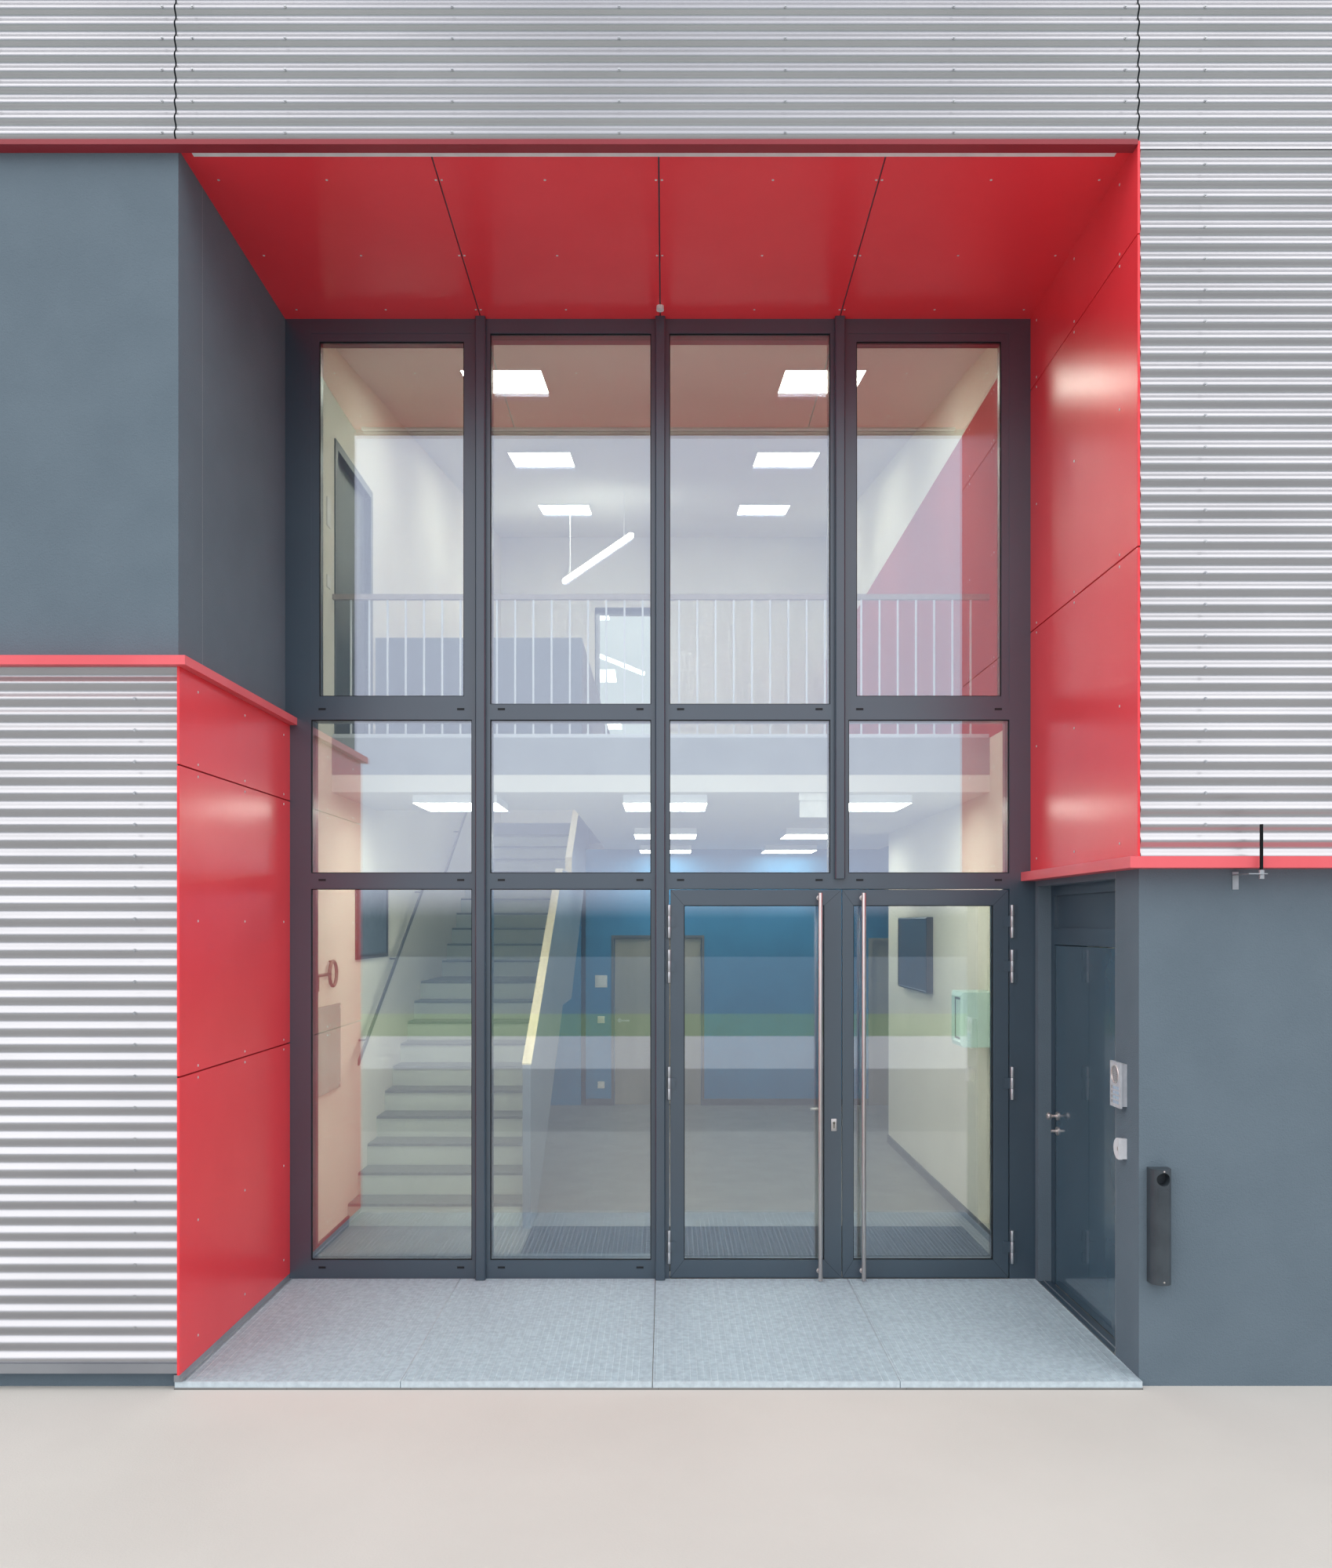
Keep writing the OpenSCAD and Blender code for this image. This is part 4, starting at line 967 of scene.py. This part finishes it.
# Inner doors
# Flush timber doors with a beige laminate face downstairs, the rear one in a slim bronze-grey steel frame
# screwed to the wall, and a dark lacquered steel door on the gallery.
beige_laminate = coat("beige_laminate", "9d9585", "928a79", 0.2, 0.5, stretch=(1, 1, 0.2))
wear(beige_laminate, "rear_door_leaf", "corridor_door")
wear(brushed_steel, "rear_door_lever")
frame_bronze = coat("bronze_grey_coat", "605c56", "55514c", 0.3, 0.45)
left, right, head = -0.6, 0.47, 2.09
bar_w = 0.035
rear_wall_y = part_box("rear_partition")[0].y
bars = [((left - bar_w, left), floor_top), ((right, right + bar_w), floor_top), ((left, right), head)]
parts = [block(x, (rear_wall_y - 0.01, rear_wall_y), (foot, head + bar_w), 0.002) for x, foot in bars]
piece(join(parts), "rear_door_architrave", frame_bronze)
wear(coat("dark_door_lacquer", "4b5753", "434e4a", 0.5, 0.4), "gallery_door")

# Foyer fittings
# What hangs on the foyer's walls: a flat screen, a pale green steel cabinet with a bare window, a frosted
# glass board on steel studs, a dark picture frame with a bare panel, a wrought steel key, and white
# plastic switch plates. All are screwed on.
wall_x = 2.3
screen_black = coat("screen_housing", "4e413c", "443833", 0.2, 0.3)
screen = block((wall_x - 0.055, wall_x), (-1.37, -0.14), (1.67, 2.32), 0.004)
piece(sink(screen, (-1, 0, 0), 0.014, 0.002), "wall_screen", screen_black)
mint_coat = coat("mint_powder_coat", "cfe8db", "c4dcd0", 0.2, 0.4)
cabinet = block((wall_x - 0.23, wall_x), (-3.28, -2.97), (1.41, 1.79), 0.006)
piece(sink(cabinet, (-1, 0, 0), 0.035, 0.012), "wall_cabinet", mint_coat)
cabinet_window = ring((wall_x - 0.222, wall_x - 0.216), (-3.235, -3.015), (1.455, 1.745), 0.014, "X")
piece(cabinet_window, "cabinet_window_frame", screen_black)

frosted_glass = coat("frosted_glass_board", "b6c3b9", "abb8ae", 0.3, 0.25)
board = block((-wall_x + 0.02, -wall_x + 0.028), (-3.75, -2.99), (1.105, 1.7), 0.001)
piece(board, "glass_board", frosted_glass)
studs = [rod((-wall_x, y, z), (-wall_x + 0.033, y, z), 0.016) for y in (-3.73, -3.01) for z in (1.13, 1.675)]
piece(join(studs), "board_studs", brushed_steel, smooth=40)
picture = ring((-wall_x, -wall_x + 0.022), (-2.5, -1.53), (1.99, 2.62), 0.03, "X")
piece(picture, "picture_frame", screen_black)
bare_panel = coat("bare_picture_panel", "656e78", "545d67", 0.12, 0.4)
panel = block((-wall_x, -wall_x + 0.012), (-2.47, -1.56), (2.02, 2.59), 0.001)
piece(panel, "picture_panel", bare_panel)

key_x = -wall_x + 0.03
key_z = 1.914
bow_y = -3.185
bow_radius = 0.085


def hoop(centre, radius, wire, segments, facets):
    """A closed hoop of round wire, upright and in line with the side walls."""
    bpy.ops.mesh.primitive_torus_add(
        major_radius=radius, minor_radius=wire / 2, major_segments=segments, minor_segments=facets,
        location=centre, rotation=(0, math.pi / 2, 0))
    bpy.ops.object.transform_apply()
    return bpy.context.object


wrought_steel = coat("wrought_steel", "938a7f", "80766c", 0.03, 0.45, 0.5)
key = [hoop((key_x, bow_y, key_z), bow_radius, 0.024, 40, 10),
       rod((key_x, bow_y - bow_radius, key_z), (key_x, -3.68, key_z), 0.022, 14)]
key += [block((key_x - 0.008, key_x + 0.008), y, (key_z - 0.105, key_z), 0.003)
        for y in ((-3.615, -3.585), (-3.555, -3.53))]
pins = ((-3.45, key_z), (bow_y, key_z + bow_radius))
key += [rod((-wall_x, y, z), (key_x, y, z), 0.012, 12) for y, z in pins]
piece(join(key), "wall_key", wrought_steel, smooth=40)

white_plastic = coat("switch_plate_plastic", "e8e6e0", "dcdad4", 0.05, 0.35)
switch_x = -0.76
plates = []
for z, side in ((1.56, 0.15), (1.09, 0.085), (0.29, 0.085)):
    for reach, depth, edge in ((side / 2, 0.009, 0.003), (side / 3, 0.013, 0.002)):
        plates.append(block((switch_x - reach, switch_x + reach), (rear_wall_y - depth, rear_wall_y),
                            (z - reach, z + reach), edge))
plates += [block((-wall_x, -wall_x + 0.011), (-3.25, -3.17), (z - high / 2, z + high / 2), 0.003)
           for z, high in ((5.1, 0.2), (4.62, 0.085))]
piece(join(plates), "switch_plates", white_plastic)
housing = block((0.969, 1.27), (-3.085, -3.03), (3.125, 3.179), 0.004)
sign = block((0.975, 1.264), (-3.07, -3.045), (3.007, 3.126), 0.003)
piece(join([housing, sign]), "exit_sign_box", white_plastic, smooth=40)

# Roof
# Grey bitumen membrane with fine slate chippings, welded in lengths a metre wide, flat behind the parapet.
membrane = coat("roof_membrane", "7d8082", "6c6f71", 0.7, 0.95, relief=(0.01, 0.002))
wear(lay(membrane, 7.5, 1.0, 0.012, 0.93, 0.6), "roof_slab")

# Door station
# A satin lacquered zinc plate on a flat box, with a round perforated speaker disc in a ring and four columns
# of keys with pale blue plastic name strips, the last grey.
wear(coat("satin_zinc", "dee1e7", "d1d4da", 0.05, 0.38, 0.3), "intercom")
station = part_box("intercom")
plate_x = station[0].x
station_y = (station[0].y + station[1].y) / 2
speaker_z = station[1].z - 0.063
key_foot = station[0].z + 0.018
speaker_ring = hoop((plate_x, station_y, speaker_z), 0.044, 0.007, 48, 8)
piece(speaker_ring, "speaker_ring", brushed_steel, smooth=40)
disc_grey = coat("speaker_disc_lacquer", "b8b9bd", "adaeb2", 0.02, 0.45, 0.2)
disc = rod((plate_x + 0.0015, station_y, speaker_z), (plate_x + 0.005, station_y, speaker_z), 0.0875, 48)
piece(disc, "speaker_disc", disc_grey, smooth=40)
holes = [(plate_x, station_y + radius * math.cos(turn), speaker_z + radius * math.sin(turn))
         for radius, count in ((0.012, 6), (0.022, 12), (0.032, 18))
         for turn in (2 * math.pi * k / count for k in range(count))]
hole = rod((0.001, 0, 0), (0.003, 0, 0), 0.0035, 8, 0)
piece(spread(hole, holes), "speaker_holes", black_rubber)
strips = {"blue": ("adc7de", "a2bcd3", (-1.5, -0.5, 0.5)), "grey": ("9ea3a8", "94999e", (1.5,))}
for tint, (colour, shade, columns) in strips.items():
    key = block((-0.001, 0.002), (-0.0085, 0.0085), (0.0005, 0.0155), 0.0006)
    places = [(plate_x, station_y + i * 0.026, key_foot + j * 0.024) for i in columns for j in range(4)]
    strip = coat(tint + "_name_strip", colour, shade, 0.02, 0.3)
    piece(spread(key, places), tint + "_keys", strip)

# Key switch, ashtray and aerial
# A half-round grey plastic switch with a steel lock, a dark half-round steel ashtray with a scraper plate
# and two screws, and a stainless bracket with a rubber-sleeved aerial.
wear(coat("switch_plastic", "e8eaef", "dadce1", 0.05, 0.4), "key_switch")
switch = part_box("key_switch")
switch_face = switch[0].x
switch_z = (switch[0].z + switch[1].z) / 2
switch_y = -5.424
slot = 0.0005
parts = [rod((switch_face + 0.006, switch_y, switch_z), (switch_face - 0.001, switch_y, switch_z), 0.02),
         block((switch_face - 0.0015, switch_face), (switch_y - slot, switch_y + slot),
               (switch_z - 0.006, switch_z + 0.006))]
piece(join(parts), "key_switch_lock", brushed_steel, smooth=40)
dark_steel = coat("dark_steel_paint", "414a51", "384047", 0.1, 0.4)
wear(dark_steel, "ashtray")
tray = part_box("ashtray")
tray_x = (tray[0].x + tray[1].x) / 2
tray_radius = (tray[1].x - tray[0].x) / 2
axis_y = tray[0].y + tray_radius
plate = rod((tray_x, axis_y, 0.905), (tray_x, axis_y, 0.977), 2 * tray_radius + 0.003, 64, 0)
for side in (-1, 1):
    cut(plate, (tray_x + side * 0.026, 0, 0), (side, 0, 0), fill=True)
cut(plate, (0, axis_y, 0), (0, 1, 0), fill=True)
piece(plate, "ashtray_plate", dark_steel, smooth=40)
screws = [rod((tray_x, tray[0].y + 0.002, z), (tray_x, tray[0].y - 0.003, z), 0.009) for z in (0.53, 1.063)]
piece(join(screws), "ashtray_screws", brushed_steel, smooth=40)
aerial_steel = coat("aerial_bracket_steel", "c8cbcf", "b9bcc0", 0.05, 0.35, 0.8)
sleeve_z = 2.513
wear(repaint(aerial_steel, ("202426", "1a1d1f", 0.02), [("Z", 1, sleeve_z)]), "antenna")

# Reveal foot strips
# Aluminium angles that close the gap between the grating and the lowest red board on the left.
strip_y = (-half_depth + 0.004, frame_face - 0.002)
upright = block((-porch_half + 0.001, -reveal_x - 0.002), strip_y, (0.0405, 0.073), 0.001)
flat = block((-reveal_x - 0.003, -reveal_x + 0.012), strip_y, (0.0405, 0.0435), 0.001)
piece(join([upright, flat]), "reveal_foot_strip", mill_aluminium)
